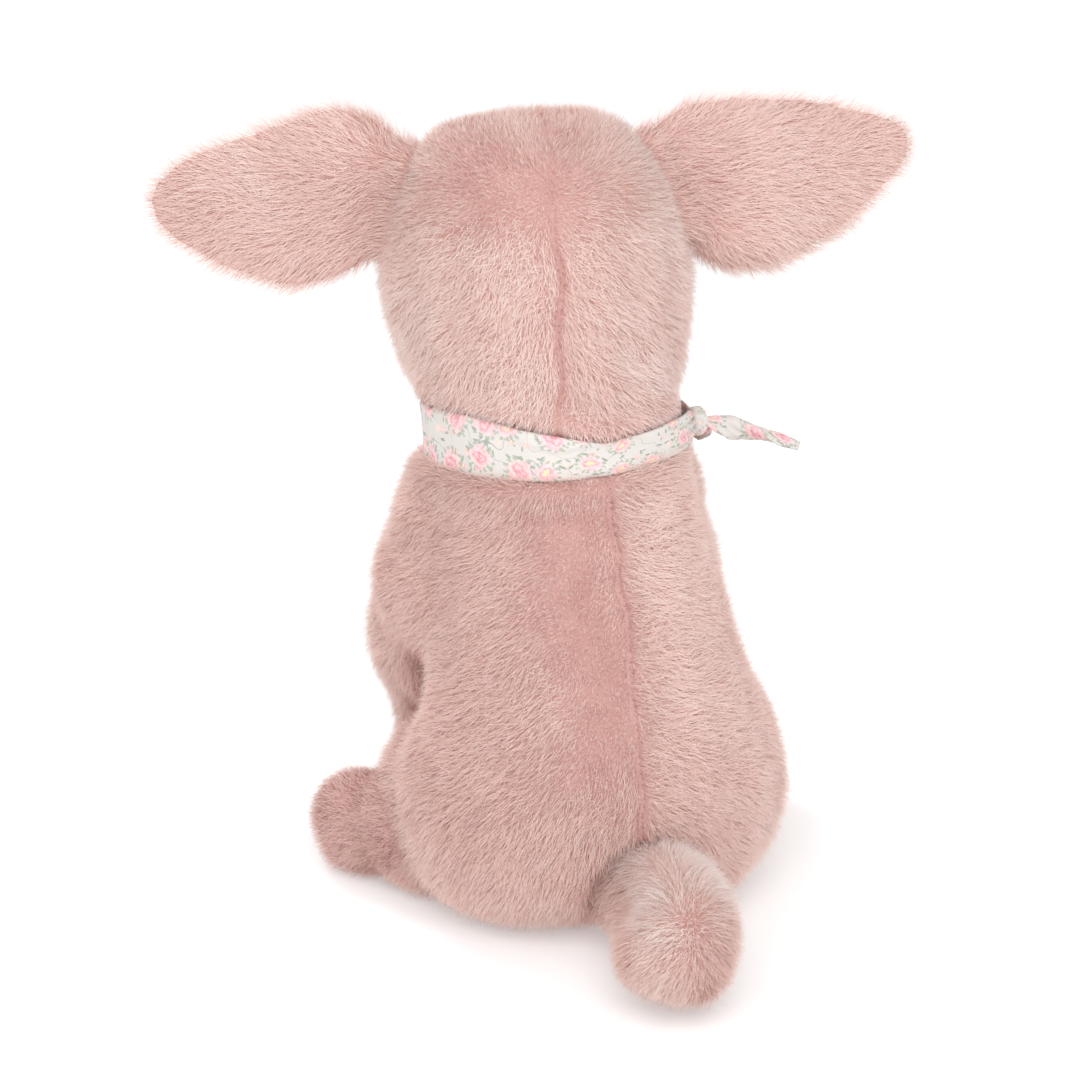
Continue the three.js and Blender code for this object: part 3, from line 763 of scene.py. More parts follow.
def turned(v, degrees):
    c, s = math.cos(math.radians(degrees)), math.sin(math.radians(degrees))
    return np.stack([v[:, 0] * c - v[:, 1] * s, v[:, 0] * s + v[:, 1] * c, v[:, 2]], axis=1)


def headLocal(p):  # a place as the head sees it, with its own front along -Y and the neck's ball as origin
    return turned(p - neckPoint, -head["yawDegrees"])


def headFlow(p, n):
    q = headLocal(p)
    x, y = q[:, 0] - head["aside"], q[:, 1] + 8
    side = np.where(offHeadSeam(p) >= 0, 1.0, -1.0)
    apart = parting(besideHeadSeam(p))
    around = unit(np.stack([side * y, -side * x, np.zeros(len(p))], axis=1))
    left = stepUp(x, -4, 6)
    low = 1 - stepUp(q[:, 2], 20, 62)
    beside = np.maximum(stepUp(np.abs(x), 0, 8), apart)
    down = (0.95 + 0.3 * left + 0.7 * low + 0.4 * (1 - beside)) * (1 - 0.4 * apart)
    crown = stepUp(q[:, 2], 74, 92)
    local = around * (0.75 * (1 - 0.3 * left) * (0.25 + 0.75 * beside))[:, None]
    local = unit(local - np.array([0, 0, 1.0]) * (down * (1 - crown))[:, None])
    fromNose = unit(q - np.array([head["aside"], -90, 32]))
    backward = stepUp(-q[:, 1], 18, 52)[:, None]
    return turned(local * (1 - backward) + fromNose * backward, head["yawDegrees"])


def muzzle(p):  # 0 on the skull, 1 at the end of the snout
    return stepUp(-headLocal(p)[:, 1], 46, 74)


def offHeadSeam(p):  # how far a place lies to the left of the thin wavy line of the head's seam
    return headLocal(p)[:, 0] - head["aside"] - 1.3 * ripple(p, 13, 61)


def besideHeadSeam(p):
    q = headLocal(p)
    return np.abs(offHeadSeam(p)) + 50 * ((q[:, 1] < 0) | (q[:, 2] > 84))


def headSeam(p):
    return hill(besideHeadSeam(p), 0.9) * (0.7 + 0.3 * ripple(p, 16, 62))


def crownPatch(p):  # the upright, deeper coloured pile across the top of the head, most on its left
    q = headLocal(p)
    across = hill(q[:, 0] - 27, 13) + 0.6 * hill(q[:, 0] + 3, 11)
    return across * stepUp(q[:, 2], 70, 86) * stepUp(q[:, 1], -50, -24)


def makeNeck():
    skin = furSkin("neckSkin", "neck", ["neck_cover", "neck_stuffing"], neck)
    movePoints(skin.data, neckPoint + (pointsOf(skin.data) - neckPoint) * rim["seat"] / neck["madeRadius"])

    def bare(p, n):  # what the scarf leaves free
        up, _, turn = neckFrame(p)
        return (np.abs(up) < 28) & ((up > scarfTop(turn) - 1) | (up < scarfBottom(turn) + 1))

    look = {"density": 0.8, "keep": bare, "length": 5.0, "lift": 0.3, "tone": 0.5}
    coat("furNeck", skin, look, steady((0, 0, -1.0)), "neck")
    return skin


def makeHead():
    skin = furSkin("headSkin", "head", ["head_cover", "head_stuffing"], head, head["skull"])
    swell(skin, [besideNeck(head["narrow"]), *head["lobes"]])
    rimToScarf(skin, above=True)

    def upright(p):
        return stepUp(headLocal(p)[:, 2], 62, 86)

    def onRight(p):
        return stepUp(-headLocal(p)[:, 0], 4, 16)

    def toScarf(p, near, far):  # 1 to 0 from near above the scarf's edge to far from it
        up, _, turn = neckFrame(p)
        return 1 - stepUp(up, scarfTop(turn) + near, scarfTop(turn) + far)

    def pulled(p):  # the short flat pile beside the knot
        return besideKnot(p) * toScarf(p, 4, 16)

    def length(p, n):
        short = 2.2 * upright(p) + 1.4 * crownPatch(p) + 2.8 * parting(besideHeadSeam(p))
        short += 2.2 * toScarf(p, 2, 14) + 3.4 * pulled(p)
        return np.maximum(head["length"] - short, head["shortest"]) * (1 - 0.68 * muzzle(p))

    def lift(p, n):
        return head["lift"] + 0.34 * upright(p) + 0.1 * crownPatch(p) - 0.3 * (muzzle(p) + pulled(p))

    def tone(p, n):
        speckle = (0.12 * dice.normal(size=len(p)) + 0.3 * ripple(p, 0.65, 64)) * crownPatch(p)
        seam = 0.75 * headSeam(p) + 0.08 * parting(besideHeadSeam(p))
        # painted shade: darker towards the top of the head
        high = 0.06 * stepUp(headLocal(p)[:, 2], 60, 90) + 0.05 * upright(p)
        return head["tone"] - 0.22 * crownPatch(p) - high - seam + speckle

    def stray(p, n):
        return fur["stray"] * (1 - np.maximum(0.35 * onRight(p), 0.6 * parting(besideHeadSeam(p))))

    look = {
        "density": head["density"],
        "keep": lambda p, n: onOutside(p, n) & (besideHeadSeam(p) > 0.1 + 0.1 * ripple(p, 9, 63)),
        "length": length,
        "lift": lift,
        "tone": tone,
        "stray": stray,
        "clump": lambda p, n: 0.12 + 0.12 * crownPatch(p) - 0.06 * onRight(p),
    }
    coat("furHead", skin, look, headFlow, "head")
    return skin


neckSkin = makeNeck()
headSkin = makeHead()
print("head made")


# Face: eyes, snout pad and nostrils

face = {
    "eyeSegments": 64, "shankRadius": 1.5, "padRings": 14, "padSegments": 72,
    "stitches": 64, "threadRadius": 0.32, "threadSides": 8, "nostrilThreads": 9,
}


def threadPaint():
    paint = Paint("embroideryThread", Roughness=0.5, Sheen_Weight=0.3, Specular_IOR_Level=0.4)
    fine = paint.noise(paint.place(), 1800)
    paint.blend(fine, 0.35, (150, 88, 86), 0.65, (186, 118, 114))
    paint.bump(fine, 0.4, 0.0002)
    return paint.material


def eyePaint():
    paint = Paint("eyePlastic", Coat_Weight=0.15, Coat_Roughness=0.03, Specular_IOR_Level=0.35)
    cloud = paint.noise(paint.place(), 160, detail=3)
    paint.blend(cloud, 0.35, (24, 15, 12), 0.7, (46, 28, 21))
    paint.set("Roughness", 0.1 + cloud * 0.05)
    return paint.material


def washerPaint():
    paint = Paint("washerPlastic", Specular_IOR_Level=0.4)
    cloud = paint.noise(paint.place(), 400, detail=4)
    paint.set("Base Color", paint.mix(cloud, linear((224, 222, 216)), linear((236, 234, 230))))
    paint.set("Roughness", 0.42 + cloud * 0.16)
    paint.bump(cloud, 0.2, 0.0002)
    return paint.material


def lathe(name, profile, place, axis, segments, material):
    # a closed shape turned about an axis, from (distance along it, radius) pairs that start and end on it
    axis = unit(np.array(axis))
    one = unit(np.cross(axis, (0, 1, 0) if abs(axis[2]) > 0.9 else (0, 0, 1)))
    outward = spokes(circle(segments), one, np.cross(axis, one))
    points, faces = [place + axis * profile[0][0]], []
    for along, radius in profile[1:-1]:
        points += list(place + axis * along + outward * radius)
    points.append(place + axis * profile[-1][0])
    rings, last = len(profile) - 2, len(points) - 1
    for i in range(segments):
        j = (i + 1) % segments
        faces.append((0, 1 + j, 1 + i))
        for k in range(rings - 1):
            a, b = 1 + k * segments, 1 + (k + 1) * segments
            faces.append((a + i, a + j, b + j, b + i))
        a = 1 + (rings - 1) * segments
        faces.append((a + i, a + j, last))
    piece = pieceOf(name, points, faces, material)
    faceOutward(piece.data)
    return piece


def measured(node):  # the points and the middle of a CAD node
    points = pointsOf(frame["nodes"][node].data)
    return points, points.mean(axis=0)


def makeEye(label, material):
    points, middle = measured(f"eye_{label}")
    _, washer = measured(f"eye_washer_{label}")
    axis = unit(middle - washer)
    along = (points - middle) @ axis
    away = np.linalg.norm(points - middle - along[:, None] * axis, axis=1)
    front, back, radius = along.max(), along.min(), away.max()
    seat = along[away > radius * 0.9].min()
    profile = [(front, 0)]
    for k in range(1, 20):
        t = math.radians(4.5 * k)
        profile.append((seat + (front - seat) * math.cos(t), radius * math.sin(t)))
    profile += [(seat, radius), (seat - 0.3, radius * 0.97), (seat - 0.5, radius * 0.85)]
    profile += [(seat - 0.55, face["shankRadius"] + 0.6), (seat - 0.9, face["shankRadius"])]
    for k in range(8):
        depth = seat - 0.9 + (back - seat + 1.2) * (k + 1) / 9
        profile.append((depth, face["shankRadius"] * (0.86 if k % 2 else 1.0)))
    profile += [(back, face["shankRadius"] * 0.7), (back, 0)]
    eye = lathe(f"eye{label.title()}", profile, middle, axis, face["eyeSegments"], material)
    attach(eye, "head")
    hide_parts(f"eye_{label}")


def discFrame(node, outward):  # middle, outward direction and the two in-plane directions of a flat node
    points, middle = measured(node)
    _, _, ways = np.linalg.svd(points - middle)
    normal = ways[2] if ways[2] @ outward > 0 else -ways[2]
    across = unit(np.cross((0, 0, 1), normal))
    upward = np.cross(normal, across)
    return points - middle, middle, normal, across, upward


def threadMesh(name, threads, material):  # many threads as one piece, each thin at both ends
    sides = face["threadSides"]
    points, faces = [], []
    for path, radius in threads:
        first, steps = len(points), len(path)
        for k in range(steps):
            way = unit(path[min(k + 1, steps - 1)] - path[max(k - 1, 0)])
            one = unit(np.cross(way, (0.31, 0.52, 0.79)))
            size = radius if 0 < k < steps - 1 else radius * 0.4
            points += list(path[k] + size * spokes(circle(sides), one, np.cross(way, one)))
        for outline in ringFaces(steps, sides):
            faces.append([first + k * sides + i % sides for k, i in outline])
    return pieceOf(name, points, faces, material)


def makeSnout(thread):
    forward = turned(np.array([[0, -1.0, 0]]), head["yawDegrees"])[0]
    q, middle, normal, across, upward = discFrame("snout_pad", forward)
    wide, tall = np.abs(q @ across).max(), np.abs(q @ upward).max()
    front, back = (q @ normal).max(), (q @ normal).min()
    profile = [(front + 0.7, 0)]
    for k in range(1, face["padRings"]):
        r = k / face["padRings"]
        profile.append((front + 0.7 * (1 - r * r) - 1.6 * r ** 6, r * 0.97))
    profile += [(front - 2.2, 1.0), (front - 3.4, 1.0), (back, 0.95), (back, 0)]
    pad = lathe("snoutPad", profile, np.zeros(3), (0, 0, 1.0), face["padSegments"], snoutVelvet)
    points = pointsOf(pad.data)
    nostrils = [(measured(f"nostril_{label}")[1] - middle) for label in ("left", "right")]
    x, y = points[:, 0] * wide, points[:, 1] * tall
    for spot in nostrils:
        away = np.hypot(x - spot @ across, (y - spot @ upward) * 0.8)
        points[:, 2] -= 0.9 * np.exp(-(away / 3.2) ** 2) * (points[:, 2] > front - 2)
    world = middle + x[:, None] * across + y[:, None] * upward + points[:, 2:3] * normal
    movePoints(pad.data, world)
    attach(pad, "head")
    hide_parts("snout_pad")

    threads = []
    for k in range(face["stitches"]):
        a = 2 * math.pi * k / face["stitches"]
        way = across * math.cos(a) * wide + upward * math.sin(a) * tall
        start = middle + way * 0.93 + normal * (front - 0.55)
        end = middle + way * 1.02 + normal * (front - 3.0)
        threads.append(([start, start * 0.4 + end * 0.6 + unit(way) * 0.35, end], face["threadRadius"]))
    ring = threadMesh("snoutStitches", threads, thread)
    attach(ring, "head")

    for label, spot in zip(("left", "right"), nostrils):
        p, spotMiddle = measured(f"nostril_{label}")
        p = p - spotMiddle
        halfWide, halfTall = np.abs(p @ across).max(), np.abs(p @ upward).max()
        lines = []
        for k in range(face["nostrilThreads"]):
            x = -1 + 2 * (k + 0.5) / face["nostrilThreads"]
            reach = halfTall * math.sqrt(1 - x * x * 0.9)
            base = spotMiddle + across * x * halfWide + normal * 0.1
            path = [base + upward * reach * t + normal * 0.55 * (1 - t * t) for t in np.linspace(-1, 1, 7)]
            lines.append((path, halfWide / face["nostrilThreads"] * 1.12))
        satin = threadMesh(f"nostril{label.title()}", lines, thread)
        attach(satin, "head")
        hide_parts(f"nostril_{label}")


def makeFace():
    plastic, thread, washer = eyePaint(), threadPaint(), washerPaint()
    for label in ("left", "right"):
        makeEye(label, plastic)
        node = frame["nodes"][f"eye_washer_{label}"]
        node.data.materials.clear()
        node.data.materials.append(washer)
    makeSnout(thread)


makeFace()
print("face made")


# Pellet pouch in the seat

pouch = {"voxel": 1.6, "smoothing": 2, "fill": 0.6, "bead": 3.2, "beadRise": 0.5}


def makePouch():
    paint = Paint("pouchCotton", Roughness=0.9, Sheen_Weight=0.1)
    weave = paint.noise(paint.place(), 2200)
    paint.set("Base Color", paint.mix(weave, linear((226, 218, 204)), linear((240, 234, 222))))
    paint.bump(weave, 0.5, 0.0003)
    skin = fused("pouchSkin", ["seat_bean_pouch"], pouch, paint.material)
    points, normals = pointsOf(skin.data), normalsOf(skin.data)
    lumps = ripple(points, pouch["bead"], 71) * pouch["beadRise"]
    movePoints(skin.data, points + normals * (lumps - pouch["beadRise"])[:, None])
    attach(skin, "torso")
    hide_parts("seat_bean_pouch")


makePouch()


# Legs and tail

limb = {
    "voxel": 1.5,
    "smoothing": 8,
    "fill": 0.7,
    "hindLobes": [((77, -42, 32), (12, 13, 13), 5.5), ((70, -36, 6), (14, 16, 8), 0.8)],
    "frontLobes": [
        ((50, -60, 52), (12, 22, 18), 6.8),
        ((45, -52, 66), (13, 13, 17), 6.0),
        ((38, -82, 36), (10, 16, 16), 3.5),
    ],
    "tailLobes": [
        ((21, 70, 6), (12, 22, 12), -0.5),
        ((20, 62, 34), (13, 30, 15), -8.0),
        ((17, 100, 3), (15, 15, 13), -5.0),
        ((-18, 85, 13), (10, 18, 14), -1.4),
    ],
}


def limbSkin(body, lobes):  # and the name of its fur
    label = body.title().replace("_", "")
    skin = furSkin(f"skin{label}", body, [f"{body}_cover", f"{body}_stuffing"], limb)
    swell(skin, lobes)
    return skin, f"fur{label}"


def shadeInCrease(p, n):  # painted shade on the back of a front leg, in the crease next to the flank
    back = stepUp(n[:, 1], 0.3, 0.8) * (1 - stepUp(np.abs(p[:, 0]), 40, 47))
    return back * (1 - stepUp(p[:, 2], 70, 82))


def makeLegs():
    for side, label in ((1, "left"), (-1, "right")):
        skin, name = limbSkin(f"hind_leg_{label}", mirrored(limb["hindLobes"], side))
        look = {
            "density": 2.7,
            "length": 6.4,
            "lift": 0.46,
            # a deep tone as painted shade on the foot, deepest where it meets the haunch
            "tone": lambda p, n: 0.32 - 0.08 * hill(np.abs(p[:, 0]) - 62, 9),
        }
        coat(name, skin, look, steady((side * 0.64, -0.76, -0.1)), f"hind_leg_{label}", torsoSkin)
        skin, name = limbSkin(f"front_leg_{label}", mirrored(limb["frontLobes"], side))
        look = {
            "density": 2.4,
            "length": 7.0,
            "lift": 0.5,
            # darker in the crease by the flank: painted shade
            "tone": lambda p, n: 0.6 - 0.55 * shadeInCrease(p, n),
        }
        coat(name, skin, look, steady((-side * 0.05, -0.25, -1.0)), f"front_leg_{label}", torsoSkin)


def makeTail():
    skin, name = limbSkin("tail", limb["tailLobes"])
    root = pivotOf("tail")

    def flow(p, n):  # combed to both sides of the middle
        aside = np.clip((p[:, 0] - root[0] - 0.03 * (p[:, 1] - root[1])) / 10, -1.1, 1.1)
        return np.stack([aside, np.full(len(p), 0.2), np.full(len(p), -0.8)], axis=1)

    def ridge(p):  # the longer pile on top, paler partly for its frosted tips and partly as painted light against the torso's shade
        return stepUp(p[:, 2], 24, 38)

    look = {
        "density": 3.6,
        "width": 0.14,
        "length": lambda p, n: 6.4 + 0.8 * ridge(p) - 2.0 * (1 - stepUp(p[:, 2], 2, 12)),
        "lift": lambda p, n: 0.6 + 0.2 * ridge(p),
        # paler on top, partly painted light, and deeper along the middle parting
        "tone": lambda p, n: 0.62 + 0.5 * ridge(p) - 0.24 * hill(p[:, 0] - root[0], 8),
        "pale": 0.26,
        "stray": 0.5,
    }
    coat(name, skin, look, flow, "tail", torsoSkin)


makeLegs()
makeTail()
print("legs and tail made")


# Ears

ear = {"voxel": 1.3, "smoothing": 6, "fill": 0.35, "halfWidth": 22}
lining = {"steps": 60, "across": 30, "start": 8, "inset": 5.5, "proud": 1.5, "sunk": 0.6, "fill": 0.2}
earLobes = {  # along the ear from its root, across it, reach and height
    "left": (
        (3, 18, 17, 5.4), (6, -18, 14, 2), (21, 22, 15, 5.6), (52, 20, 18, -1.5), (60, -18, 20, -1),
        (88, 0, 12, -1.8),
    ),
    "right": (
        (4, 18, 15, 4.2), (13, -21, 18, 8.6), (34, -21, 18, 3.4), (46, 20, 22, -3.4), (56, -17, 14, 1.4),
        (70, -14, 15, -1), (88, 10, 12, 5.0),
    ),
}


def makeLining(label, skin, root, onward, across, backward):
    # the smooth panel inside the ear: a leaf laid on the front of the skin, kept back from its rim
    tree = treeOf(skin.data)
    off = pointsOf(skin.data) - root
    along, aside = off @ onward, off @ across
    steps, width = lining["steps"], lining["across"]
    start, end = lining["start"], along.max() - lining["inset"]
    outer, inner = [], []
    for k in range(steps):
        share = k / (steps - 1)
        place = start + (end - start) * share
        near = np.abs(along - place) < 1.5
        low, high = aside[near].min() + lining["inset"], aside[near].max() - lining["inset"]
        taper = math.sqrt(max(0.0, 1 - (2 * share - 1) ** 8))
        middle, half = (low + high) / 2, max((high - low) / 2, 1.0) * max(taper, 0.05)
        for i in range(width):
            t = 2 * i / (width - 1) - 1
            spot = root + onward * place + across * (middle + half * t)
            hit = tree.ray_cast(Vector(spot - backward * 60), Vector(backward))[0]
            if hit is None:
                hit = tree.find_nearest(Vector(spot))[0]
            edge = min(1.0, 6 * (1 - abs(t))) * min(1.0, 8 * share, 8 * (1 - share))
            outer.append(np.array(hit) - backward * (lining["proud"] * edge - 0.3))
            inner.append(np.array(hit) + backward * lining["sunk"])
    count = steps * width
    faces = []
    for k in range(steps - 1):
        for i in range(width - 1):
            a = k * width + i
            faces.append((a, a + 1, a + width + 1, a + width))
            faces.append((count + a + width, count + a + width + 1, count + a + 1, count + a))
    last = (steps - 1) * width
    border = [*range(width), *range(2 * width - 1, last + width, width)]
    border += [*range(last + width - 2, last - 1, -1), *range(last - width, 0, -width)]
    for a, b in zip(border, border[1:] + border[:1]):
        faces.append((b, a, count + a, count + b))
    panel = pieceOf(f"earLining{label.title()}", outer + inner, faces, liningVelvet)
    soft = panel.modifiers.new("soft", "SMOOTH")
    soft.iterations = 4
    applied(panel)
    faceOutward(panel.data)
    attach(panel, f"ear_{label}")
    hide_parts(f"ear_{label}_lining")


def makeEar(label):
    body = f"ear_{label}"
    title = f"Ear{label.title()}"
    skin = fused(f"skin{title}", [f"{body}_back", f"{body}_lining"], ear, undercoat)
    root = pivotOf(body)
    points = pointsOf(skin.data)
    tip = points[np.argmax(np.linalg.norm(points - root, axis=1))]
    hinge = unit(np.array(joints[body]["axis"]))
    onward = unit(tip - root)
    across = unit(hinge - (hinge @ onward) * onward)
    backward = unit(np.cross(across, onward))
    backward = backward if backward[1] > 0 else -backward
    for along, aside, reach, height in earLobes[label]:
        swell(skin, [(root + onward * along + across * aside, (reach, reach, reach), height)])
    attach(skin, body)
    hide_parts(f"{body}_back")
    makeLining(label, skin, root, onward, across, backward)

    def flow(p, n):
        off = np.clip((p - root) @ across / ear["halfWidth"], -1, 1)
        return onward + across * (off * 0.6)[:, None]

    def nearRoot(p):
        return hill(np.linalg.norm(p - root, axis=1), 20)

    def nearTip(p):
        return hill(np.linalg.norm(p - tip, axis=1), 16)

    def tone(p, n):  # paler on the front, and deeper and speckled at the root, the deeper tone there being painted shade where the ear meets the head
        front = 0.16 * stepUp(-(n @ backward), 0.0, 0.6)
        return 0.64 + front - 0.16 * nearRoot(p) + 0.22 * ripple(p, 0.7, 81) * nearRoot(p)

    look = {
        "density": 2.5,
        "keep": lambda p, n: n @ backward > -0.8,
        "length": lambda p, n: (2.6 + 5.2 * stepUp(n @ backward, -0.4, 0.15)) * (1 - 0.3 * nearTip(p)),
        "lift": lambda p, n: 0.34 + 0.2 * nearRoot(p),
        "stray": 0.3,
        "wander": 0.26,
        "clump": 0.05,
        "tone": tone,
    }
    coat(f"fur{title}", skin, look, flow, body, headSkin)


makeEar("left")
makeEar("right")
print("ears made")


# Scarf: a folded strip of printed cotton, tied at the toy's right

cotton = {
    "ground": (217, 212, 207),
    "groundPale": (232, 227, 222),
    "rose": (226, 142, 156),
    "rosePale": (250, 226, 226),
    "petal": (242, 182, 190),
    "petalPale": (248, 216, 212),
    "cream": (247, 232, 184),
    "sage": (152, 168, 146),
    "stem": (138, 146, 134),
    "vein": (205, 214, 196),
    "roseCell": 12.0,  # millimetres of cloth to a rose
    "roseRadius": 4.1,
    "sprigCell": 5.2,
    "leafCell": 3.3,
    "weave": 18.0,
}


def printedCotton():
    # a small floral in millimetres of cloth: roses, little five-petal flowers, leaves and thin stems
    paint = Paint("scarfCotton", Roughness=0.88, Sheen_Weight=0.15, Specular_IOR_Level=0.2)
    where = paint.node("ShaderNodeUVMap", {"uv_map": "cloth"})
    tones = {name: linear(value) for name, value in cotton.items() if isinstance(value, tuple)}

    def vector(operation, *values):
        return paint.node("ShaderNodeVectorMath", {"operation": operation}, dict(enumerate(values)))

    def scaled(value, factor):
        return vector("MULTIPLY", value, (factor, factor, factor))

    def parts(kind, value):  # the first two parts of a vector or a colour
        return [paint.node(f"ShaderNodeSeparate{kind}", {}, {0: value}, k) for k in range(2)]

    def sine(value):
        return paint.maths("SINE", value)

    def positive(value):
        return paint.maths("ABSOLUTE", value)

    def polar(x, y):  # distance and angle
        return paint.maths("SQRT", x * x + y * y), paint.maths("ARCTAN2", y, x)

    def inside(value, edge, soft):  # 1 where value is under edge
        return paint.maths("MULTIPLY", edge - value, 1 / soft, clamp=True)

    def cell(size, shift, randomness):
        # offset from the nearest flower's middle, and two random numbers of the flower
        place = vector("ADD", scaled(where, 1 / size), (shift, shift * 0.7, 0))
        settings = {"voronoi_dimensions": "2D"}
        inputs = {"Vector": place, "Scale": 1.0, "Randomness": randomness}
        spot = paint.node("ShaderNodeTexVoronoi", settings, inputs, "Position")
        chance = paint.node("ShaderNodeTexVoronoi", settings, inputs, "Color")
        return *parts("XYZ", scaled(vector("SUBTRACT", place, spot), size)), *parts("Color", chance)

    cloud = paint.noise(where, 0.55, detail=2, roughness=0.6)
    colour = paint.mix(cloud * 0.35, tones["ground"], tones["groundPale"])

    # stems
    wander = paint.noise(where, 0.085, detail=1, roughness=0.4)
    stem = inside(positive(wander - 0.5), 0.004, 0.003) * 0.7
    colour = paint.mix(stem, colour, tones["stem"])

    # leaves, some sage and some grey
    x, y, one, two = cell(cotton["leafCell"], 3.7, 0.95)
    turn = one * 6.283
    c, s = paint.maths("COSINE", turn), sine(turn)
    along, across = x * c + y * s, (y * c - x * s) * 2.9
    leaf = inside(polar(along, across)[0], 0.9 + one * 0.6, 0.25) * inside(two, 0.5, 0.02)
    vein = inside(positive(across), 0.28, 0.2) * 0.35
    leafTone = paint.mix(vein, paint.mix(two * 2.0, tones["sage"], tones["stem"]), tones["vein"])
    colour = paint.mix(leaf * 0.85, colour, leafTone)

    # little flowers
    x, y, one, two = cell(cotton["sprigCell"], 8.3, 0.9)
    away, bearing = polar(x, y)
    lobes = positive(sine(bearing * 2.5 + one * 6.283))
    flower = inside(away, 0.5 + one * 0.4 + lobes * 0.7, 0.25) * inside(two, 0.45, 0.02)
    petal = paint.mix(one, tones["petal"], tones["petalPale"])
    petal = paint.mix(inside(away, 0.45, 0.15), petal, tones["cream"])
    colour = paint.mix(flower * 0.85, colour, petal)

    # roses: loose petals in broken rings, deeper towards one side, some with a cream heart
    x, y, one, two = cell(cotton["roseCell"], 1.2, 0.7)
    drift = paint.noise(where, 0.5, detail=3, roughness=0.6)
    away, bearing = polar(x + (drift - 0.5) * 3.4, y + (cloud - 0.5) * 3.4)
    size = cotton["roseRadius"] * (0.72 + one * 0.4)
    share = away / size
    shown = inside(two, 0.7, 0.02)
    fringe = positive(sine(bearing * 7.0 + two * 6.283))
    spray = inside(away - fringe * 0.9, size + 0.5, 0.3) * shown * inside(0.6 - fringe, 0.05, 0.15)
    colour = paint.mix(spray * 0.6, colour, tones["sage"])
    rose = inside(share + sine(bearing * 4.0 + one * 17.0) * 0.1, 1.0, 0.12) * shown
    whorl = sine(share * 11.0 + sine(bearing * 2.0 + one * 9.0) * 2.2 + drift * 6.0)
    depth = paint.maths("MULTIPLY", whorl * 0.35 + 0.65, 1.15 - share * 0.8 + (drift - 0.5) * 1.2, clamp=True)
    petals = paint.mix(depth, tones["rosePale"], tones["rose"])
    heart = inside(share, 0.45, 0.25) * inside(one, 0.55, 0.02)
    petals = paint.mix(heart * 0.8, petals, tones["cream"])
    paint.set("Base Color", paint.mix(rose * 0.95, colour, petals))

    # plain weave
    u, v = parts("XYZ", where)
    weave = sine(u * cotton["weave"]) * sine(v * cotton["weave"])
    paint.bump(weave + cloud * 3.0, 0.35, 0.00008)
    return paint.material


def sweptCloth(name, rows, clothWidth, clothLength, material, closed=False):
    # a skin through rows of points, with a map in millimetres of cloth
    rows = np.asarray(rows)
    steps, around = rows.shape[:2]
    outlines = list(ringFaces(steps, around, closed))
    faces = [[k % steps * around + i % around for k, i in outline] for outline in outlines]
    maps = [(clothLength[k], clothWidth(i)) for outline in outlines for k, i in outline]
    piece = pieceOf(name, rows.reshape(-1, 3), faces, material)
    piece.data.uv_layers.new(name="cloth").data.foreach_set("uv", np.array(maps).ravel())
    return piece


band = {
    "steps": 300,
    "across": 22,
    "pleat": 0.7,
    "wave": 0.45,
    "fold": 0.7,  # height of the upper layer
    "foldEdge": ((50, 70, 95), (0.8, 0.62, 1.05)),  # degrees round the neck, and share of the band's height
    "foldShown": (48, 58, 88, 96),  # degrees between which it rises and sinks away
    "hem": 0.5,
    "hemEdge": ((78, 95, 120), (0.0, 0.2, 0.0)),
    "hemShown": (76, 84, 110, 120),
}


def aboveEdge(layer, turn, share):  # 1 above a layer's edge and 0 below it, and how far it shows at a turn
    rise, top, sink, end = band[f"{layer}Shown"]
    above = stepUp(share - np.interp(turn, *band[f"{layer}Edge"]), -0.03, 0.03)
    return above, stepUp(turn, rise, top) * (1 - stepUp(turn, sink, end))


def bandRows():  # rings of points round the band, and how far along the cloth each lies
    turns = np.linspace(0, 360, band["steps"], endpoint=False)
    arc = np.radians(turns) * scarf["radius"]
    towardsKnot = hill(turns - scarf["knotDegrees"] + 5, 26)
    top, bottom = scarfTop(turns), scarfBottom(turns)
    share = np.linspace(0, 1, band["across"])
    edge = np.sqrt(np.clip(1 - np.abs(2 * share - 1) ** 6, 0, 1))
    rows = []
    for k, turn in enumerate(turns):
        loose = 1 - towardsKnot[k]
        up = bottom[k] + (top[k] - bottom[k]) * share
        pleat = towardsKnot[k] * band["pleat"] * np.sin(share * 2 * math.pi * 3.5 + arc[k] * 0.02)
        wave = band["wave"] * np.sin(arc[k] * 0.21 + share * 2.2) * np.sin(arc[k] * 0.083 + 1.0) * loose
        aboveFold, foldShown = aboveEdge("fold", turn, share)
        aboveHem, hemShown = aboveEdge("hem", turn, share)
        flare = (0.9 * share ** 3 + 0.4 * (1 - share) ** 3) * loose
        layer = scarf["radius"] + scarf["thickness"] * (0.45 + 0.55 * edge)
        fold, hem = band["fold"] * aboveFold * foldShown, band["hem"] * (1 - aboveHem) * hemShown
        outer = layer + pleat + wave + fold - hem + flare
        inner = scarf["radius"] + scarf["thickness"] * (0.4 - 0.4 * edge) + 0.8 * wave + flare
        away = np.concatenate([outer, inner[::-1][1:-1]])
        ups = np.concatenate([up, up[::-1][1:-1]])
        rows.append(neckPlace(ups, away, np.full(len(ups), turn)))
    return rows, np.append(arc, 2 * math.pi * scarf["radius"])


def spun(a, b, degrees):
    c, s = math.cos(math.radians(degrees)), math.sin(math.radians(degrees))
    return a * c + b * s, b * c - a * s


scarfEnds = {  # three points along, up and to the front from the knot, radii along it, and its twist
    "long": {
        "path": ((2, 0, 0), (15, -3, 1), (33, -10.5, 1)),
        "radii": (1.8, 2.9, 3.6, 3.4, 3.0, 2.4, 1.3),
        "twist": 250,
    },
    "short": {
        "path": ((1, -1, 3), (3, -3, 11), (2, -9, 19)),
        "radii": (1.9, 3.4, 3.9, 3.7, 3.4, 3.0, 2.2),
        "twist": 170,
    },
}
knot = {"up": -0.2, "out": 2.6, "halfSizes": (3.9, 5.0, 4.6), "steps": 48, "across": 36}


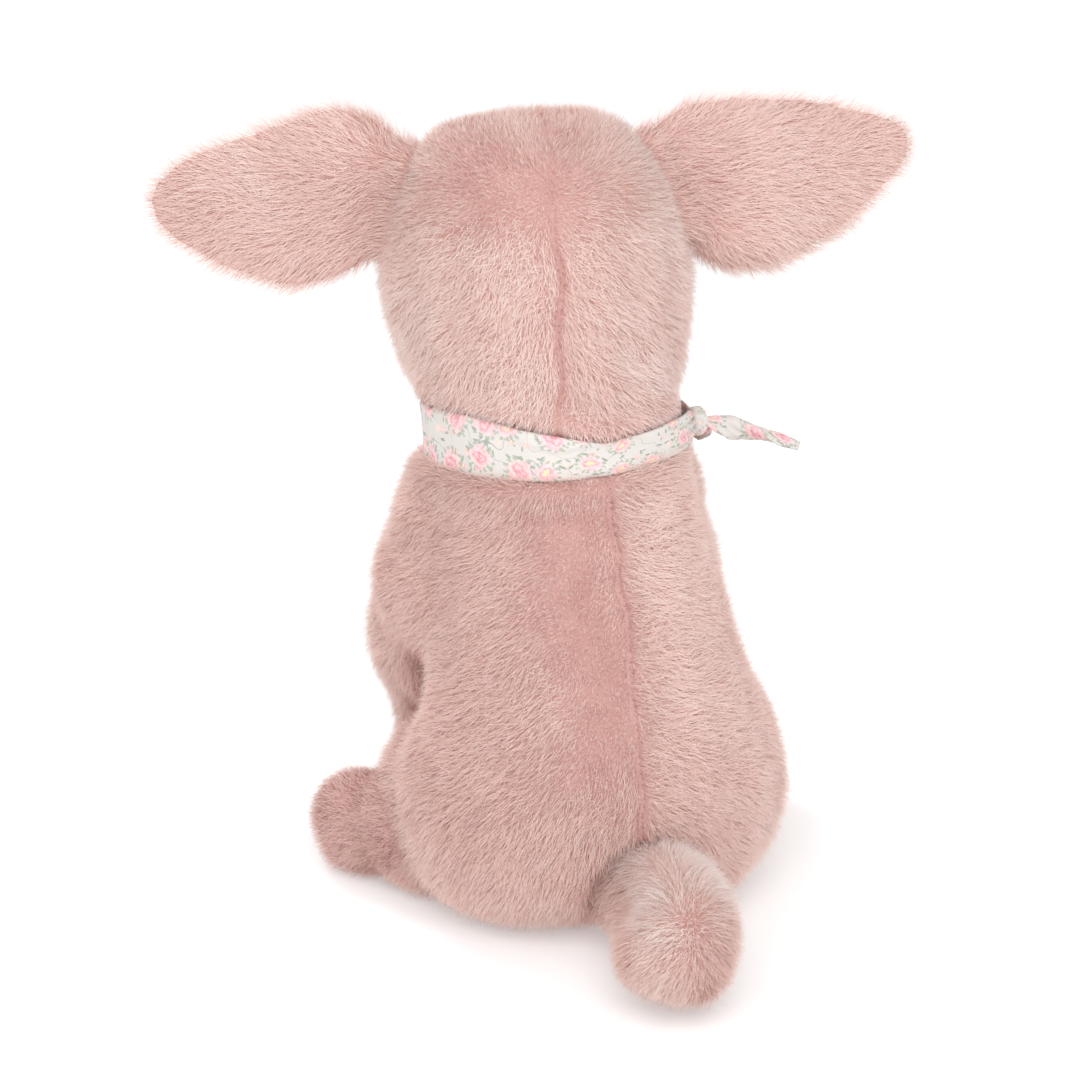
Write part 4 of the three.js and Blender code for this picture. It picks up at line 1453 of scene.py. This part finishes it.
def makeScarfEnd(name, plan, start, out, material):
    aside = unit(np.cross(neckUp, out))
    a, b, c = (start + out * q[0] + neckUp * q[1] + aside * q[2] for q in plan["path"])
    steps, turn = 60, circle(40)
    rows, lengths, travelled, last = [], [], 0.0, a
    for k in range(steps):
        t = k / (steps - 1)
        place = a * (1 - t) ** 2 + b * 2 * t * (1 - t) + c * t * t
        way = unit((b - a) * (1 - t) + (c - b) * t)
        travelled += float(np.linalg.norm(place - last))
        last = place
        one = unit(np.cross(way, neckUp))
        one, two = spun(one, np.cross(way, one), plan["twist"] * t)
        size = np.interp(t, np.linspace(0, 1, len(plan["radii"])), plan["radii"])
        ridges = 1 + 0.18 * np.sin(turn * 3 + t * 6) + 0.07 * np.sin(turn * 8 - t * 8)
        x, y = size * ridges * np.cos(turn), size * 0.62 * ridges * np.sin(turn)
        rows.append(place + x[:, None] * one + y[:, None] * two)
        lengths.append(travelled)
    return sweptCloth(name, rows, lambda i: i * 26 / len(turn), lengths, material)


def makeKnot(place, out, material):
    aside = unit(np.cross(neckUp, out))
    along, across = neckUp * 0.8 + aside * 0.6, aside * 0.8 - neckUp * 0.6
    wide, long, deep = knot["halfSizes"]
    steps, turn = knot["steps"], circle(knot["across"])
    rows, lengths = [], []
    for k in range(steps):
        t = math.pi * (0.02 + 0.96 * k / (steps - 1))
        folds = 1 + 0.07 * np.sin(turn * 5 + t * 3) + 0.05 * np.sin(t * 9 + turn)
        r = np.sin(t) * folds * (1 - 0.16 * hill(t - 1.9, 0.3))
        x, z = r * np.cos(turn) * wide, r * np.sin(turn) * deep
        rows.append(place + x[:, None] * out - along * math.cos(t) * long + z[:, None] * across)
        lengths.append(k * 0.4 + 140)
    return sweptCloth("scarfKnot", rows, lambda i: i * 28 / len(turn), lengths, material)


def makeScarf():
    cloth = printedCotton()
    rows, lengths = bandRows()

    def width(i):  # up the outer layer and down the inner one
        share = i % len(rows[0]) / (band["across"] - 1)
        return scarf["width"] * (share if share <= 1 else 2 - share)

    strip = sweptCloth("scarfBand", rows, width, lengths, cloth, closed=True)
    out = unit(neckPlace(0, 1, scarf["knotDegrees"]) - neckPoint)
    knotPlace = neckPlace(knot["up"], scarf["radius"] + knot["out"], scarf["knotDegrees"])
    pieces = [makeKnot(knotPlace, out, cloth)]
    for label, plan in scarfEnds.items():
        pieces.append(makeScarfEnd(f"scarfEnd{label.title()}", plan, knotPlace, out, cloth))
    for piece in (strip, *pieces):
        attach(piece, "torso")
    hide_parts("neck_scarf")


makeScarf()
print("scarf made")


# Stage, light and camera

camera = {
    "azimuth": 160,  # degrees round from the toy's front
    "elevation": 21,
    "distance": 1200,
    "targetZ": 125,
    "targetX": 590,  # where the image shows the target, in pixels
    "targetY": 534,
    "pixelSize": 0.32,  # at the target
    "imageSize": 1067,
}
studio = {
    "world": 0.87,
    "floorGlow": 0.3,
    "floorReach": 8000,
    "focus": (0, -30, 190),
    "key": {"azimuth": 164, "elevation": 32, "distance": 520, "size": 450, "power": 1.5},
    "front": {"azimuth": 25, "elevation": 42, "distance": 700, "size": 200, "power": 1.2},
}


def towards(azimuth, elevation):
    a, e = math.radians(azimuth), math.radians(elevation)
    return Vector((math.sin(a) * math.cos(e), -math.cos(a) * math.cos(e), math.sin(e)))


def aimed(name, data, place, back):  # puts a camera or a lamp in place, looking against back
    thing = bpy.data.objects.new(name, data)
    scene.collection.objects.link(thing)
    thing.location = place * mm
    thing.rotation_mode = "QUATERNION"
    thing.rotation_quaternion = back.to_track_quat("Z", "Y")
    return thing


def makeCamera():
    back = towards(camera["azimuth"], camera["elevation"])
    lens = bpy.data.cameras.new("camera")
    lens.sensor_width = 36
    lens.lens = 36 * camera["distance"] / (camera["pixelSize"] * camera["imageSize"])
    lens.shift_x = (camera["imageSize"] / 2 - camera["targetX"]) / camera["imageSize"]
    lens.shift_y = (camera["targetY"] - camera["imageSize"] / 2) / camera["imageSize"]
    lens.clip_start, lens.clip_end = 0.05, 50
    place = back * camera["distance"] + Vector((0, 0, camera["targetZ"]))
    scene.camera = aimed("camera", lens, place, back)


def makeFloor():
    reach = studio["floorReach"]
    corners = [(-reach, -reach, 0), (reach, -reach, 0), (reach, reach, 0), (-reach, reach, 0)]
    glow = {"Emission_Color": (1, 1, 1, 1), "Emission_Strength": studio["floorGlow"]}
    paint = Paint("floorPaper", Roughness=0.9, **glow)
    grain = paint.noise(paint.place(), 300, detail=3)
    paint.set("Base Color", paint.mix(grain, linear((226, 226, 226)), linear((230, 230, 230))))
    pieceOf("floor", corners, [(0, 1, 2, 3)], paint.material)


def makeWorld():  # white where it is seen or mirrored, a little dimmer as light
    world = bpy.data.worlds.new("studio")
    scene.world = world
    world.use_nodes = True
    nodes, links = world.node_tree.nodes, world.node_tree.links
    nodes["Background"].inputs["Color"].default_value = (1, 1, 1, 1)
    path = nodes.new("ShaderNodeLightPath")
    seen = path.outputs["Is Camera Ray"]
    for ray in ("Is Glossy Ray", "Is Transmission Ray"):
        either = nodes.new("ShaderNodeMath")
        either.operation = "MAXIMUM"
        links.new(seen, either.inputs[0])
        links.new(path.outputs[ray], either.inputs[1])
        seen = either.outputs[0]
    level = nodes.new("ShaderNodeMapRange")
    level.inputs["To Min"].default_value = studio["world"]
    level.inputs["To Max"].default_value = 1.0
    links.new(seen, level.inputs["Value"])
    links.new(level.outputs["Result"], nodes["Background"].inputs["Strength"])


def makeLamps():
    for name in ("key", "front"):
        plan = studio[name]
        light = bpy.data.lights.new(name, "AREA")
        light.size = plan["size"] * mm
        light.energy = plan["power"]
        away = towards(plan["azimuth"], plan["elevation"])
        lamp = aimed(name, light, Vector(studio["focus"]) + away * plan["distance"], away)
        lamp.visible_camera = False


makeCamera()
makeFloor()
makeWorld()
makeLamps()
scene.view_settings.view_transform = "Standard"
print("stage made")
